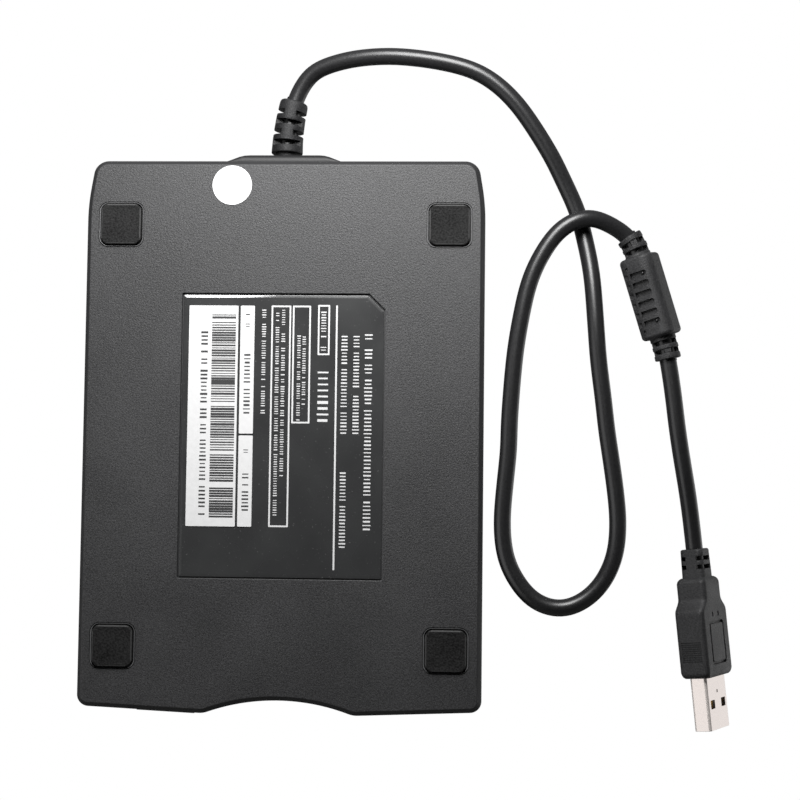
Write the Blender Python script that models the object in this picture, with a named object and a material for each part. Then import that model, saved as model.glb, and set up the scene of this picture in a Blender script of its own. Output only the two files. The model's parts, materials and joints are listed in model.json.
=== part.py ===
"""Slim external drive for 3.5 inch floppy disks, with its lead, ferrite bead and plug.

Metres, +Z up, feet on z = 0, front towards -Y, lead towards +Y. Every piece is its own object.
The case is laid out from the inside out: the disk and what moves round it come first, and the
walls follow from them, so a change of one size carries the others along.
"""

import math

import bmesh
import bpy
from mathutils import Matrix, Vector

for leftover in list(bpy.data.objects):
    bpy.data.objects.remove(leftover, do_unlink=True)

# Clearances shared by all pieces
SEAT_GAP = 0.0003
SKIN_GAP = 0.0001
RUNNING_GAP = 0.00015
OVERRUN = 0.001

# The disk that goes in
DISK_WIDTH = 0.090
DISK_DEPTH = 0.094
DISK_THICK = 0.0033
HUB_SETBACK = 0.0465
TRACK_ZERO_RADIUS = 0.0395
HEAD_TRAVEL = 0.0148

# Heights, from the table up
FOOT_STAND = 0.0009
FLOOR_THICK = 0.0017
BOARD_THICK = 0.0009
CHIP_THICK = 0.0010
CHIP_HEADROOM = 0.0005
CHASSIS_SHEET = 0.0008
LIP_CLEARANCE = 0.0004
HOLDER_DROP = 0.0024
HOLDER_SHEET = 0.0006
BAY_HEIGHT = 0.0043
SLIDE_SHEET = 0.0006
SHIELD_SHEET = 0.0004
ROOF_GAP = 0.0004
ROOF_THICK = 0.0017
PARTING_SHARE = 0.5

UNDER_Z = FOOT_STAND
FLOOR_Z = UNDER_Z + FLOOR_THICK
BOARD_Z = FLOOR_Z + SEAT_GAP
CHIP_Z = BOARD_Z + BOARD_THICK + SEAT_GAP
CHASSIS_Z = CHIP_Z + CHIP_THICK + CHIP_HEADROOM
CHASSIS_TOP_Z = CHASSIS_Z + CHASSIS_SHEET
LIP_Z = CHASSIS_TOP_Z + LIP_CLEARANCE + HOLDER_DROP
BAY_Z = LIP_Z + HOLDER_SHEET
BAY_TOP_Z = BAY_Z + BAY_HEIGHT
HOLDER_TOP_Z = BAY_TOP_Z + HOLDER_SHEET
WEB_Z = HOLDER_TOP_Z + SEAT_GAP
WEB_TOP_Z = WEB_Z + SLIDE_SHEET
SHIELD_Z = WEB_TOP_Z + SEAT_GAP
SHIELD_TOP_Z = SHIELD_Z + SHIELD_SHEET
ROOF_Z = SHIELD_TOP_Z + ROOF_GAP
CASE_TOP_Z = ROOF_Z + ROOF_THICK
PARTING_Z = UNDER_Z + (CASE_TOP_Z - UNDER_Z) * PARTING_SHARE

# Half widths, from the middle out
BAY_SIDE = 0.0013
SIDE_GAP = 0.00045
CASE_SIDE_GAP = 0.0010
CASE_WALL = 0.0018

BAY_HALF = DISK_WIDTH / 2 + BAY_SIDE
HOLDER_HALF = BAY_HALF + HOLDER_SHEET
FLANGE_IN = HOLDER_HALF + SIDE_GAP
FLANGE_OUT = FLANGE_IN + SLIDE_SHEET
CHASSIS_IN = FLANGE_OUT + SIDE_GAP
CHASSIS_HALF = CHASSIS_IN + CHASSIS_SHEET
CASE_INNER_HALF = CHASSIS_HALF + CASE_SIDE_GAP
CASE_HALF = CASE_INNER_HALF + CASE_WALL

# Depths, from the front edge back
NOTCH_DEPTH = 0.00365
DISK_INSET = 0.00085
BEZEL_SET = 0.0003
BEZEL_WALL = 0.0017
DOOR_THICK = 0.0008
BRACKET_GAP = 0.0004
BRACKET_THICK = 0.0008
SCREW_CLEARANCE = 0.0007
FOLLOWER_THICK = 0.0016
MOTOR_LENGTH = 0.0105
CHASSIS_TAIL = 0.0005
BOARD_AISLE = 0.0015
USB_BOARD_DEPTH = 0.0080
CABLE_ROOM = 0.0032

CASE_DEPTH = (NOTCH_DEPTH + DISK_INSET + DISK_DEPTH + BRACKET_GAP + BRACKET_THICK + 2 * SCREW_CLEARANCE
              + FOLLOWER_THICK + HEAD_TRAVEL + MOTOR_LENGTH + CHASSIS_TAIL + BOARD_AISLE
              + USB_BOARD_DEPTH + CABLE_ROOM + CASE_WALL)
FRONT_Y = -CASE_DEPTH / 2
REAR_Y = CASE_DEPTH / 2
BEZEL_BACK_Y = FRONT_Y + NOTCH_DEPTH + BEZEL_SET + BEZEL_WALL
DISK_REAR_Y = FRONT_Y + NOTCH_DEPTH + DISK_INSET
DISK_LEAD_Y = DISK_REAR_Y + DISK_DEPTH
SPINDLE_Y = DISK_LEAD_Y - HUB_SETBACK
TRACK_Y = SPINDLE_Y + TRACK_ZERO_RADIUS
BRACKET_Y = DISK_LEAD_Y + BRACKET_GAP
FOLLOWER_Y = BRACKET_Y + BRACKET_THICK + SCREW_CLEARANCE + HEAD_TRAVEL + FOLLOWER_THICK / 2
MOTOR_Y = FOLLOWER_Y + FOLLOWER_THICK / 2 + SCREW_CLEARANCE
CHASSIS_REAR_Y = MOTOR_Y + MOTOR_LENGTH + CHASSIS_TAIL
USB_BOARD_Y = CHASSIS_REAR_Y + BOARD_AISLE
CASE_INNER_REAR_Y = REAR_Y - CASE_WALL

# Outline of the case, seen from above
EDGE_ROUND = 0.00085
TOP_ROUND = 0.0012
CORNER_ROUND = 0.0030
REAR_TAPER = 0.0019
REAR_TAPER_LENGTH = 0.01135
REAR_TAPER_ROUND = 0.055
FRONT_SWEEP_DEG = 2.0
NOTCH_HALF = 0.0193
NOTCH_ANGLE_DEG = 19.0
NOTCH_ROUND = 0.054
NOTCH_LIP_ROUND = 0.0020
ARC_STEP_DEG = 22.0

# How far the button and the rear boss stand out, which centres the whole on the origin
BUTTON_X = 0.0295
BUTTON_PROUD = 0.0012
BOSS_PROUD = 0.0023
BUTTON_FACE_Y = FRONT_Y + (BUTTON_X - NOTCH_HALF) * math.tan(math.radians(FRONT_SWEEP_DEG)) - BUTTON_PROUD
CASE_SHIFT_Y = -(BUTTON_FACE_Y + REAR_Y + BOSS_PROUD) / 2

# Frames that the pieces hang from
case_frame = bpy.data.objects.new("case_frame", None)
case_frame.location = (0.0, CASE_SHIFT_Y, 0.0)
bpy.context.scene.collection.objects.link(case_frame)
bpy.context.view_layer.update()


def linear(hex_colour):
    """Turn an sRGB hex colour into the linear values that a shader takes."""
    channels = []
    for start in (1, 3, 5):
        value = int(hex_colour[start:start + 2], 16) / 255
        channels.append(value / 12.92 if value <= 0.04045 else ((value + 0.055) / 1.055) ** 2.4)
    return (*channels, 1.0)


def finish(name, hex_colour, roughness, metallic=0.0):
    """Make a Principled material."""
    material = bpy.data.materials.new(name)
    material.use_nodes = True
    shader = material.node_tree.nodes["Principled BSDF"]
    shader.inputs["Base Color"].default_value = linear(hex_colour)
    shader.inputs["Roughness"].default_value = roughness
    shader.inputs["Metallic"].default_value = metallic
    material.diffuse_color = linear(hex_colour)
    return material


def loft(rings, closed=False):
    """Skin a list of rings of equally many points. Closed joins the last ring to the first."""
    bm = bmesh.new()
    rows = []
    for ring in rings:
        rows.append([bm.verts.new(point) for point in ring])
    count = len(rows[0])
    pairs = list(zip(rows, rows[1:]))
    if closed:
        pairs.append((rows[-1], rows[0]))
    for low, high in pairs:
        for i in range(count):
            j = (i + 1) % count
            bm.faces.new((low[i], low[j], high[j], high[i]))
    if not closed:
        bm.faces.new(list(reversed(rows[0])))
        bm.faces.new(rows[-1])
    bmesh.ops.recalc_face_normals(bm, faces=bm.faces)
    return bm


def prism(outline, low, high):
    """Extrude a plan outline between two heights."""
    return loft([[(x, y, z) for x, y in outline] for z in (low, high)])


def box(x_low, x_high, y_low, y_high, z_low, z_high):
    """Make a rectangular block between its limits."""
    plan = [(x_low, y_low), (x_high, y_low), (x_high, y_high), (x_low, y_high)]
    return prism(plan, z_low, z_high)


def circle(radius, sides):
    """Points of a circle about zero."""
    return [(radius * math.cos(2 * math.pi * i / sides), radius * math.sin(2 * math.pi * i / sides))
            for i in range(sides)]


def axis_point(axis, along, across, up):
    """Put a point given along and across an axis into space."""
    if axis == "X":
        return (along, across, up)
    if axis == "Y":
        return (across, along, up)
    return (across, up, along)


def turned(profile, centre, axis, sides, closed=False):
    """Turn a profile of (distance along, radius) pairs about an axis through a centre."""
    rings = []
    for along, radius in profile:
        ring = []
        for a, b in circle(radius, sides):
            point = Vector(axis_point(axis, along, a, b)) + Vector(centre)
            ring.append(tuple(point))
        rings.append(ring)
    return loft(rings, closed)


def arc(centre_x, centre_y, radius, start_deg, end_deg, steps):
    """Points along an arc."""
    points = []
    for i in range(steps + 1):
        angle = math.radians(start_deg + (end_deg - start_deg) * i / steps)
        points.append((centre_x + radius * math.cos(angle), centre_y + radius * math.sin(angle)))
    return points


def offset_corners(corners, inset):
    """Move each edge of a counter-clockwise outline of (x, y, radius) corners inwards."""
    count = len(corners)
    moved = []
    for i in range(count):
        before = Vector(corners[i - 1][:2])
        here = Vector(corners[i][:2])
        after = Vector(corners[(i + 1) % count][:2])
        into = (here - before).normalized()
        out = (after - here).normalized()
        normal_in = Vector((-into.y, into.x))
        normal_out = Vector((-out.y, out.x))
        turn = into.x * out.y - into.y * out.x
        half = 1 + normal_in.dot(normal_out)
        place = here + (normal_in + normal_out) * (inset / half)
        radius = corners[i][2]
        if radius > 0:
            radius = max(radius - inset, radius / 10) if turn > 0 else radius + inset
        moved.append((place.x, place.y, radius))
    return moved


def rounded(corners, inset=0.0):
    """Turn (x, y, radius) corners into an outline with its corners rounded."""
    placed = offset_corners(corners, inset)
    count = len(placed)
    outline = []
    for i in range(count):
        before = Vector(placed[i - 1][:2])
        here = Vector(placed[i][:2])
        after = Vector(placed[(i + 1) % count][:2])
        radius = placed[i][2]
        if radius <= 0:
            outline.append(tuple(here))
            continue
        into = (here - before).normalized()
        out = (after - here).normalized()
        turn = math.atan2(into.x * out.y - into.y * out.x, into.dot(out))
        tangent = radius * math.tan(abs(turn) / 2)
        start = here - into * tangent
        side = 1.0 if turn > 0 else -1.0
        centre = start + Vector((-into.y, into.x)) * (side * radius)
        steps = max(2,
                    round(math.degrees(abs(corners[i][3] if len(corners[i]) > 3 else turn)) / ARC_STEP_DEG))
        spoke = start - centre
        for step in range(steps + 1):
            angle = turn * step / steps
            outline.append((centre.x + spoke.x * math.cos(angle) - spoke.y * math.sin(angle),
                            centre.y + spoke.x * math.sin(angle) + spoke.y * math.cos(angle)))
    return outline


def rounded_rectangle(centre_x, centre_y, width, depth, radius):
    """Outline of a rectangle with round corners."""
    corners = [(centre_x - width / 2, centre_y - depth / 2, radius),
               (centre_x + width / 2, centre_y - depth / 2, radius),
               (centre_x + width / 2, centre_y + depth / 2, radius),
               (centre_x - width / 2, centre_y + depth / 2, radius)]
    return rounded(corners)


def merge(parts):
    """Gather several meshes that stand apart into one, for a cutter."""
    whole = bmesh.new()
    for part in parts:
        mesh = bpy.data.meshes.new("gathered")
        part.to_mesh(mesh)
        part.free()
        whole.from_mesh(mesh)
        bpy.data.meshes.remove(mesh)
    return whole


def link(name, bm, parent):
    """Make an object from a mesh and hang it from a frame."""
    mesh = bpy.data.meshes.new(name)
    bm.to_mesh(mesh)
    bm.free()
    item = bpy.data.objects.new(name, mesh)
    item.parent = parent
    bpy.context.scene.collection.objects.link(item)
    return item


def piece(name, bm, material, origin=(0.0, 0.0, 0.0), parent=None):
    """Make a named sub-part with its origin where it turns or slides."""
    bmesh.ops.translate(bm, verts=bm.verts, vec=[-value for value in origin])
    item = link(name, bm, parent or case_frame)
    item.location = origin
    item.data.materials.append(material)
    return item


def shape_with(item, bm, operation):
    """Cut a mesh from a piece, or join it on, through a Boolean modifier and a hidden guide."""
    guide = link(f"{item.name}_guide", bm, item.parent)
    guide.hide_render = True
    guide.display_type = 'WIRE'
    modifier = item.modifiers.new(guide.name, 'BOOLEAN')
    modifier.operation = operation
    modifier.solver = 'EXACT'
    modifier.object = guide


def cut(item, *parts):
    """Take shapes that stand apart from each other out of a piece."""
    shape_with(item, merge(parts), 'DIFFERENCE')


def join(item, *parts):
    """Grow a piece by shapes that reach into it and stand apart from each other."""
    shape_with(item, merge(parts), 'UNION')


def smooth(item, angle_deg=35.0):
    """Shade a round piece smooth, with its true edges kept sharp."""
    item.data.shade_smooth()
    item.data.set_sharp_from_angle(angle=math.radians(angle_deg))


# Materials, from the photograph
case_plastic = finish("moulded_abs_charcoal", "#4a4a4b", 0.62)
bezel_plastic = finish("moulded_abs_black", "#3a3a3b", 0.55)
foot_rubber = finish("rubber_black", "#2b2b2b", 0.80)
label_film = finish("label_film_satin", "#3b3b3b", 0.35)
sticker_paper = finish("paper_white", "#efefef", 0.60)
cord_pvc = finish("pvc_black", "#2a2a2a", 0.40)
plug_pvc = finish("pvc_matte_black", "#333333", 0.60)
nickel = finish("nickel_plated_steel", "#cfc8c4", 0.25, 1.0)
tongue_plastic = finish("plug_insulator_white", "#e6e6e2", 0.45)
zinc_steel = finish("zinc_plated_steel", "#a9acb0", 0.35, 1.0)
cast_aluminium = finish("cast_aluminium", "#8f9294", 0.50, 1.0)
spring_steel = finish("spring_steel", "#9a9ca0", 0.30, 1.0)
bronze = finish("sintered_bronze", "#9c7442", 0.45, 1.0)
copper = finish("enamelled_copper", "#9a5a2c", 0.40, 1.0)
board_green = finish("circuit_board_green", "#1f5a38", 0.50)
chip_epoxy = finish("chip_epoxy", "#202022", 0.55)
lamp_clear = finish("clear_acrylic", "#b9d8a4", 0.15)
engineering_plastic = finish("acetal_black", "#2f3032", 0.50)
ceramic = finish("head_ceramic", "#5b5c60", 0.30)
ribbon_film = finish("ribbon_film_white", "#d9d9d2", 0.50)


def case_corners():
    """Corners of the case's plan outline, counter-clockwise, with their radii and arc steps."""
    sweep = math.tan(math.radians(FRONT_SWEEP_DEG))
    corner_y = FRONT_Y + (CASE_HALF - NOTCH_HALF) * sweep
    notch_y = FRONT_Y + NOTCH_HALF * math.tan(math.radians(NOTCH_ANGLE_DEG))
    fine = math.radians(3 * ARC_STEP_DEG)
    finest = math.radians(8 * ARC_STEP_DEG)
    half = [(NOTCH_HALF, FRONT_Y, NOTCH_LIP_ROUND, fine / 2),
            (CASE_HALF, corner_y, CORNER_ROUND),
            (CASE_HALF, REAR_Y - REAR_TAPER_LENGTH, REAR_TAPER_ROUND, fine),
            (CASE_HALF - REAR_TAPER, REAR_Y, CORNER_ROUND)]
    mirrored = [(-corner[0], *corner[1:]) for corner in reversed(half)]
    return [(0.0, notch_y, NOTCH_ROUND, finest)] + half + mirrored


CASE_CORNERS = case_corners()


def case_shell(levels):
    """Loft the case outline through (inset, height) levels, outside first and inside last."""
    return loft([[(x, y, z) for x, y in rounded(CASE_CORNERS, inset)] for inset, z in levels])


def round_edge(radius, height, direction):
    """Levels of a rounded outer edge that ends at full size, going up or down."""
    levels = []
    for share in (0.0, 1 / 3, 2 / 3):
        angle = math.radians(90 * share)
        levels.append((radius * (1 - math.sin(angle)), height + direction * radius * (1 - math.cos(angle))))
    levels.append((0.0, height + direction * radius))
    return levels


# Feet and the screws under them
FOOT_SIDE = 0.0092
FOOT_END = 0.01695
FOOT_POCKET = 0.0119
FOOT_POCKET_DEPTH = 0.0009
FOOT_POCKET_ROUND = 0.0017
FOOT_PAD = 0.0105
FOOT_PAD_ROUND = 0.0013
FOOT_CHAMFER = 0.0003
SCREW_BOSS_RADIUS = 0.00375
SCREW_HEAD_RADIUS = 0.0023
SCREW_HEAD_HEIGHT = 0.0012
SCREW_RADIUS = 0.0012
FOOT_PLACES = [("rear_right", 1, 1), ("rear_left", -1, 1), ("front_right", 1, -1), ("front_left", -1, -1)]


def foot_centre(side, end):
    """Centre of a foot in plan."""
    return (side * (CASE_HALF - FOOT_SIDE), end * (CASE_DEPTH / 2 - FOOT_END))


POCKET_Z = UNDER_Z + FOOT_POCKET_DEPTH
HEAD_Z = POCKET_Z + SEAT_GAP
HEAD_SEAT_Z = HEAD_Z + SCREW_HEAD_HEIGHT + SEAT_GAP

# Label on the underside
LABEL_WIDTH = 0.0528
LABEL_DEPTH = 0.0736
LABEL_Y = -0.0002
LABEL_CHAMFER = 0.0041
LABEL_RECESS = 0.0007
LABEL_THICK = 0.0003
LABEL_MARGIN = 0.0005
STICKER_THICK = 0.0001

# Front edge of the covers, bezel, slot and button
FRONT_LIP = 0.0010
FRONT_LIP_TOP = 0.0003
BEZEL_SIDE_GAP = 0.00035
SLOT_SIDE = 0.0005
DOOR_SIDE = 0.0009
DOOR_AXIS_RISE = 0.0013
DOOR_OVERLAP = 0.0004
DOOR_BARREL = 0.00085
DOOR_PIN = 0.0005
DOOR_SWEEP_GAP = 0.0004
DOOR_SPRING_LENGTH = 0.0024
DOOR_SPRING_RADIUS = 0.00095
DOOR_SPRING_WIRE = 0.0003
EAR_LENGTH = 0.0024
EAR_HEIGHT = 0.0020
EAR_TOP_GAP = 0.0002
BUTTON_WIDTH = 0.0150
BUTTON_HEIGHT = 0.0034
BUTTON_TRAVEL = 0.0055
BUTTON_WEB = 0.0011
BUTTON_ARM_HEIGHT = 0.0015
BUTTON_ARM_DEPTH = 0.0031
BUTTON_ARM_GAP = 0.0011
CHASSIS_FRONT_INSET = 0.0095
LAMP_X = 0.033
LAMP_RADIUS = 0.0012
LAMP_HEAD_LENGTH = 0.0018

BEZEL_HALF = FLANGE_IN - BEZEL_SIDE_GAP
BEZEL_Z = FLOOR_Z + FRONT_LIP + SEAT_GAP
BEZEL_TOP_Z = ROOF_Z - FRONT_LIP_TOP - SEAT_GAP
SLOT_HALF = BAY_HALF - SLOT_SIDE
DOOR_HALF = BAY_HALF - DOOR_SIDE
DOOR_AXIS_Y = BEZEL_BACK_Y + SEAT_GAP + DOOR_THICK
DOOR_AXIS_Z = BAY_TOP_Z + DOOR_AXIS_RISE
DOOR_LENGTH = DOOR_AXIS_Z - BAY_Z + DOOR_OVERLAP
DOOR_REACH = math.hypot(DOOR_LENGTH, DOOR_THICK)
HOLDER_FRONT_Y = DOOR_AXIS_Y + DOOR_REACH + DOOR_SWEEP_GAP
CHASSIS_FRONT_Y = FRONT_Y + CHASSIS_FRONT_INSET
BUTTON_TOP_Z = BAY_Z - BUTTON_WEB - SEAT_GAP
BUTTON_Z = BUTTON_TOP_Z - BUTTON_HEIGHT
ARM_Z = BUTTON_TOP_Z - BUTTON_ARM_HEIGHT
ARM_BACK_Y = HOLDER_FRONT_Y - BUTTON_ARM_GAP
ARM_FRONT_Y = ARM_BACK_Y - BUTTON_ARM_DEPTH
LAMP_Z = BUTTON_Z + BUTTON_HEIGHT / 2

# Rear boss and the hole for the lead
BOSS_X = 0.0010
BOSS_HALF = 0.0149
BOSS_FLAT_HALF = 0.0097
BOSS_HEIGHT = 0.0056
BOSS_SLOPE = 0.0017
CORD_X = 0.0008
RELIEF_NECK_RADIUS = 0.00315
CORD_Z = PARTING_Z


def front_edge_y(x, inset=0.0):
    """Front edge of the outline at a place beside the finger notch."""
    sweep = math.tan(math.radians(FRONT_SWEEP_DEG))
    return FRONT_Y + inset + (abs(x) - NOTCH_HALF) * sweep


def front_opening(low, high):
    """Cutter for the front wall of a cover between two heights."""
    half = BEZEL_HALF + SEAT_GAP
    return box(-half, half, FRONT_Y - OVERRUN, BEZEL_BACK_Y + OVERRUN, low, high)


def boss_block(low, high, slope_low, slope_high):
    """The rear boss between two heights, drawn in at its far end by the slopes."""
    root = REAR_Y - CASE_WALL / 2
    top = REAR_Y + BOSS_PROUD

    def plan(draw_in, z):
        return [(BOSS_X - BOSS_HALF, root, z), (BOSS_X + BOSS_HALF, root, z),
                (BOSS_X + BOSS_HALF, REAR_Y, z),
                (BOSS_X + BOSS_FLAT_HALF, top - draw_in, z),
                (BOSS_X - BOSS_FLAT_HALF, top - draw_in, z),
                (BOSS_X - BOSS_HALF, REAR_Y, z)]

    return loft([plan(slope_low, low), plan(0.0, low + slope_low), plan(0.0, high - slope_high),
                 plan(slope_high, high)])


def boss_half(lower):
    """One cover's half of the rear boss."""
    if lower:
        return boss_block(CORD_Z - BOSS_HEIGHT, CORD_Z - SEAT_GAP / 2, BOSS_SLOPE, 0.0)
    return boss_block(CORD_Z + SEAT_GAP / 2, CORD_Z + BOSS_HEIGHT, 0.0, BOSS_SLOPE)


def cord_hole():
    """Cutter for the hole that both halves of the boss make."""
    profile = [(CASE_INNER_REAR_Y - OVERRUN, RELIEF_NECK_RADIUS + SEAT_GAP),
               (REAR_Y + BOSS_PROUD + OVERRUN, RELIEF_NECK_RADIUS + SEAT_GAP)]
    return turned(profile, (CORD_X, 0.0, CORD_Z), "Y", 16)


def label_outline(margin):
    """Plan outline of the label or its recess, one corner cut off."""
    half_width = LABEL_WIDTH / 2 - margin
    half_depth = LABEL_DEPTH / 2 - margin
    chamfer = LABEL_CHAMFER
    return [(-half_width, LABEL_Y - half_depth), (half_width, LABEL_Y - half_depth),
            (half_width, LABEL_Y + half_depth), (-half_width + chamfer, LABEL_Y + half_depth),
            (-half_width, LABEL_Y + half_depth - chamfer)]


def make_bottom_cover():
    """Tray with its floor below, four foot pockets, screw bosses and the label recess."""
    rim = PARTING_Z - SEAT_GAP / 2
    levels = round_edge(EDGE_ROUND, UNDER_Z, 1) + [(0.0, rim), (CASE_WALL, rim), (CASE_WALL, FLOOR_Z)]
    cover = piece("bottom_cover", case_shell(levels), case_plastic)
    bosses = []
    pockets = []
    bores = []
    for _, side, end in FOOT_PLACES:
        x, y = foot_centre(side, end)
        bosses.append(turned([(FLOOR_Z - FLOOR_THICK / 2, SCREW_BOSS_RADIUS),
                              (CHASSIS_Z - SEAT_GAP, SCREW_BOSS_RADIUS)], (x, y, 0.0), "Z", 16))
        outline = rounded_rectangle(x, y, FOOT_POCKET, FOOT_POCKET, FOOT_POCKET_ROUND)
        pockets.append(prism(outline, UNDER_Z - OVERRUN, POCKET_Z))
        bores.append(turned([(UNDER_Z, SCREW_HEAD_RADIUS + SEAT_GAP),
                             (HEAD_SEAT_Z, SCREW_HEAD_RADIUS + SEAT_GAP),
                             (HEAD_SEAT_Z, SCREW_RADIUS + SEAT_GAP),
                             (CHASSIS_Z, SCREW_RADIUS + SEAT_GAP)], (x, y, 0.0), "Z", 12))
    join(cover, *bosses, boss_half(True))
    cut(cover, *pockets, prism(label_outline(0.0), UNDER_Z - OVERRUN, UNDER_Z + LABEL_RECESS))
    cut(cover, *bores, cord_hole(), front_opening(FLOOR_Z + FRONT_LIP, PARTING_Z + OVERRUN))
    return cover


CLIP_LENGTH = 0.0080
CLIP_SPREAD = 0.030
CLIP_DROP = 0.0030
CLIP_THICK = 0.0003
CLIP_ROOT = 0.0026


def clip(side, y):
    """Clip tab inside the top cover, which reaches down behind the bottom cover's wall."""
    inner = CASE_INNER_HALF - SEAT_GAP - CLIP_THICK
    edges = sorted((side * inner, side * (CASE_INNER_HALF + CASE_WALL / 4)))
    tab = sorted((side * inner, side * (inner + CLIP_THICK)))
    rim = PARTING_Z + SEAT_GAP / 2
    low = rim - CLIP_DROP
    high = rim + CLIP_ROOT
    profile = [(tab[0], low), (tab[1], low)]
    if side > 0:
        profile += [(tab[1], rim + SEAT_GAP), (edges[1], rim + SEAT_GAP), (edges[1], high),
                    (edges[0], high)]
    else:
        profile += [(edges[1], high), (edges[0], high), (edges[0], rim + SEAT_GAP),
                    (tab[0], rim + SEAT_GAP)]
    rings = [[(x, y + offset, z) for x, z in profile] for offset in (-CLIP_LENGTH / 2, CLIP_LENGTH / 2)]
    return loft(rings)


def make_top_cover():
    """Lid with its roof above and clip tabs that hold it on the tray."""
    rim = PARTING_Z + SEAT_GAP / 2
    levels = round_edge(TOP_ROUND, CASE_TOP_Z, -1) + [(0.0, rim), (CASE_WALL, rim), (CASE_WALL, ROOF_Z)]
    cover = piece("top_cover", case_shell(levels), case_plastic)
    clips = [clip(side, y) for side in (-1, 1) for y in (-CLIP_SPREAD, CLIP_SPREAD)]
    join(cover, boss_half(False), *clips)
    cut(cover, cord_hole(), front_opening(PARTING_Z - OVERRUN, ROOF_Z - FRONT_LIP_TOP))
    return cover


def make_feet_and_screws():
    """Rubber feet in their pockets, each over the screw that it hides."""
    for name, side, end in FOOT_PLACES:
        x, y = foot_centre(side, end)
        top = POCKET_Z - SEAT_GAP
        small = FOOT_PAD - 2 * FOOT_CHAMFER
        rings = []
        for size, z in ((small, 0.0), (FOOT_PAD, FOOT_CHAMFER), (FOOT_PAD, top)):
            outline = rounded_rectangle(x, y, size, size, FOOT_PAD_ROUND)
            rings.append([(px, py, z) for px, py in outline])
        piece(f"foot_{name}", loft(rings), foot_rubber, (x, y, 0.0))
        profile = [(HEAD_Z, SCREW_HEAD_RADIUS), (HEAD_Z + SCREW_HEAD_HEIGHT, SCREW_HEAD_RADIUS),
                   (HEAD_Z + SCREW_HEAD_HEIGHT, SCREW_RADIUS), (CHASSIS_TOP_Z, SCREW_RADIUS)]
        screw = piece(f"case_screw_{name}", turned(profile, (x, y, 0.0), "Z", 12), zinc_steel, (x, y, 0.0))
        smooth(screw)


# Stickers on the label, and a round one beside it
STICKER_TOP_INSET = 0.0032
STICKER_LOW_INSET = 0.0133
STICKER_SIDE_INSET = 0.0019
STICKER_BREAK_SHARE = 0.415
STICKER_GAP = 0.0006
STICKER_AISLE = 0.0003
BARCODE_WIDTH = 0.0132
SERIAL_WIDTH = 0.0038
STICKER_TOP_Y = LABEL_Y + LABEL_DEPTH / 2 - STICKER_TOP_INSET
STICKER_LOW_Y = LABEL_Y - LABEL_DEPTH / 2 + STICKER_LOW_INSET
STICKER_BREAK_Y = STICKER_LOW_Y + (STICKER_TOP_Y - STICKER_LOW_Y) * STICKER_BREAK_SHARE
BARCODE_RIGHT_X = LABEL_WIDTH / 2 - STICKER_SIDE_INSET
BARCODE_LEFT_X = BARCODE_RIGHT_X - BARCODE_WIDTH
SERIAL_RIGHT_X = BARCODE_LEFT_X - STICKER_AISLE
SERIAL_LEFT_X = SERIAL_RIGHT_X - SERIAL_WIDTH
ROUND_STICKER_X = 0.0139
ROUND_STICKER_END = 0.0066
ROUND_STICKER_RADIUS = 0.00515


def make_labels():
    """The rating label in its recess and the plain white stickers."""
    ceiling = UNDER_Z + LABEL_RECESS
    label_low = ceiling - SKIN_GAP - LABEL_THICK
    piece("rating_label", prism(label_outline(LABEL_MARGIN), label_low, label_low + LABEL_THICK),
          label_film)
    high = label_low - SKIN_GAP
    low = high - STICKER_THICK
    half_gap = STICKER_GAP / 2
    piece("sticker_barcode", box(BARCODE_LEFT_X, BARCODE_RIGHT_X, STICKER_LOW_Y, STICKER_TOP_Y, low, high),
          sticker_paper)
    piece("sticker_upper",
          box(SERIAL_LEFT_X, SERIAL_RIGHT_X, STICKER_BREAK_Y + half_gap, STICKER_TOP_Y, low, high),
          sticker_paper)
    piece("sticker_lower",
          box(SERIAL_LEFT_X, SERIAL_RIGHT_X, STICKER_LOW_Y, STICKER_BREAK_Y - half_gap, low, high),
          sticker_paper)
    dot_high = UNDER_Z - SKIN_GAP
    profile = [(dot_high - STICKER_THICK, ROUND_STICKER_RADIUS), (dot_high, ROUND_STICKER_RADIUS)]
    piece("sticker_round", turned(profile, (ROUND_STICKER_X, REAR_Y - ROUND_STICKER_END, 0.0), "Z", 24),
          sticker_paper)


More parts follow.
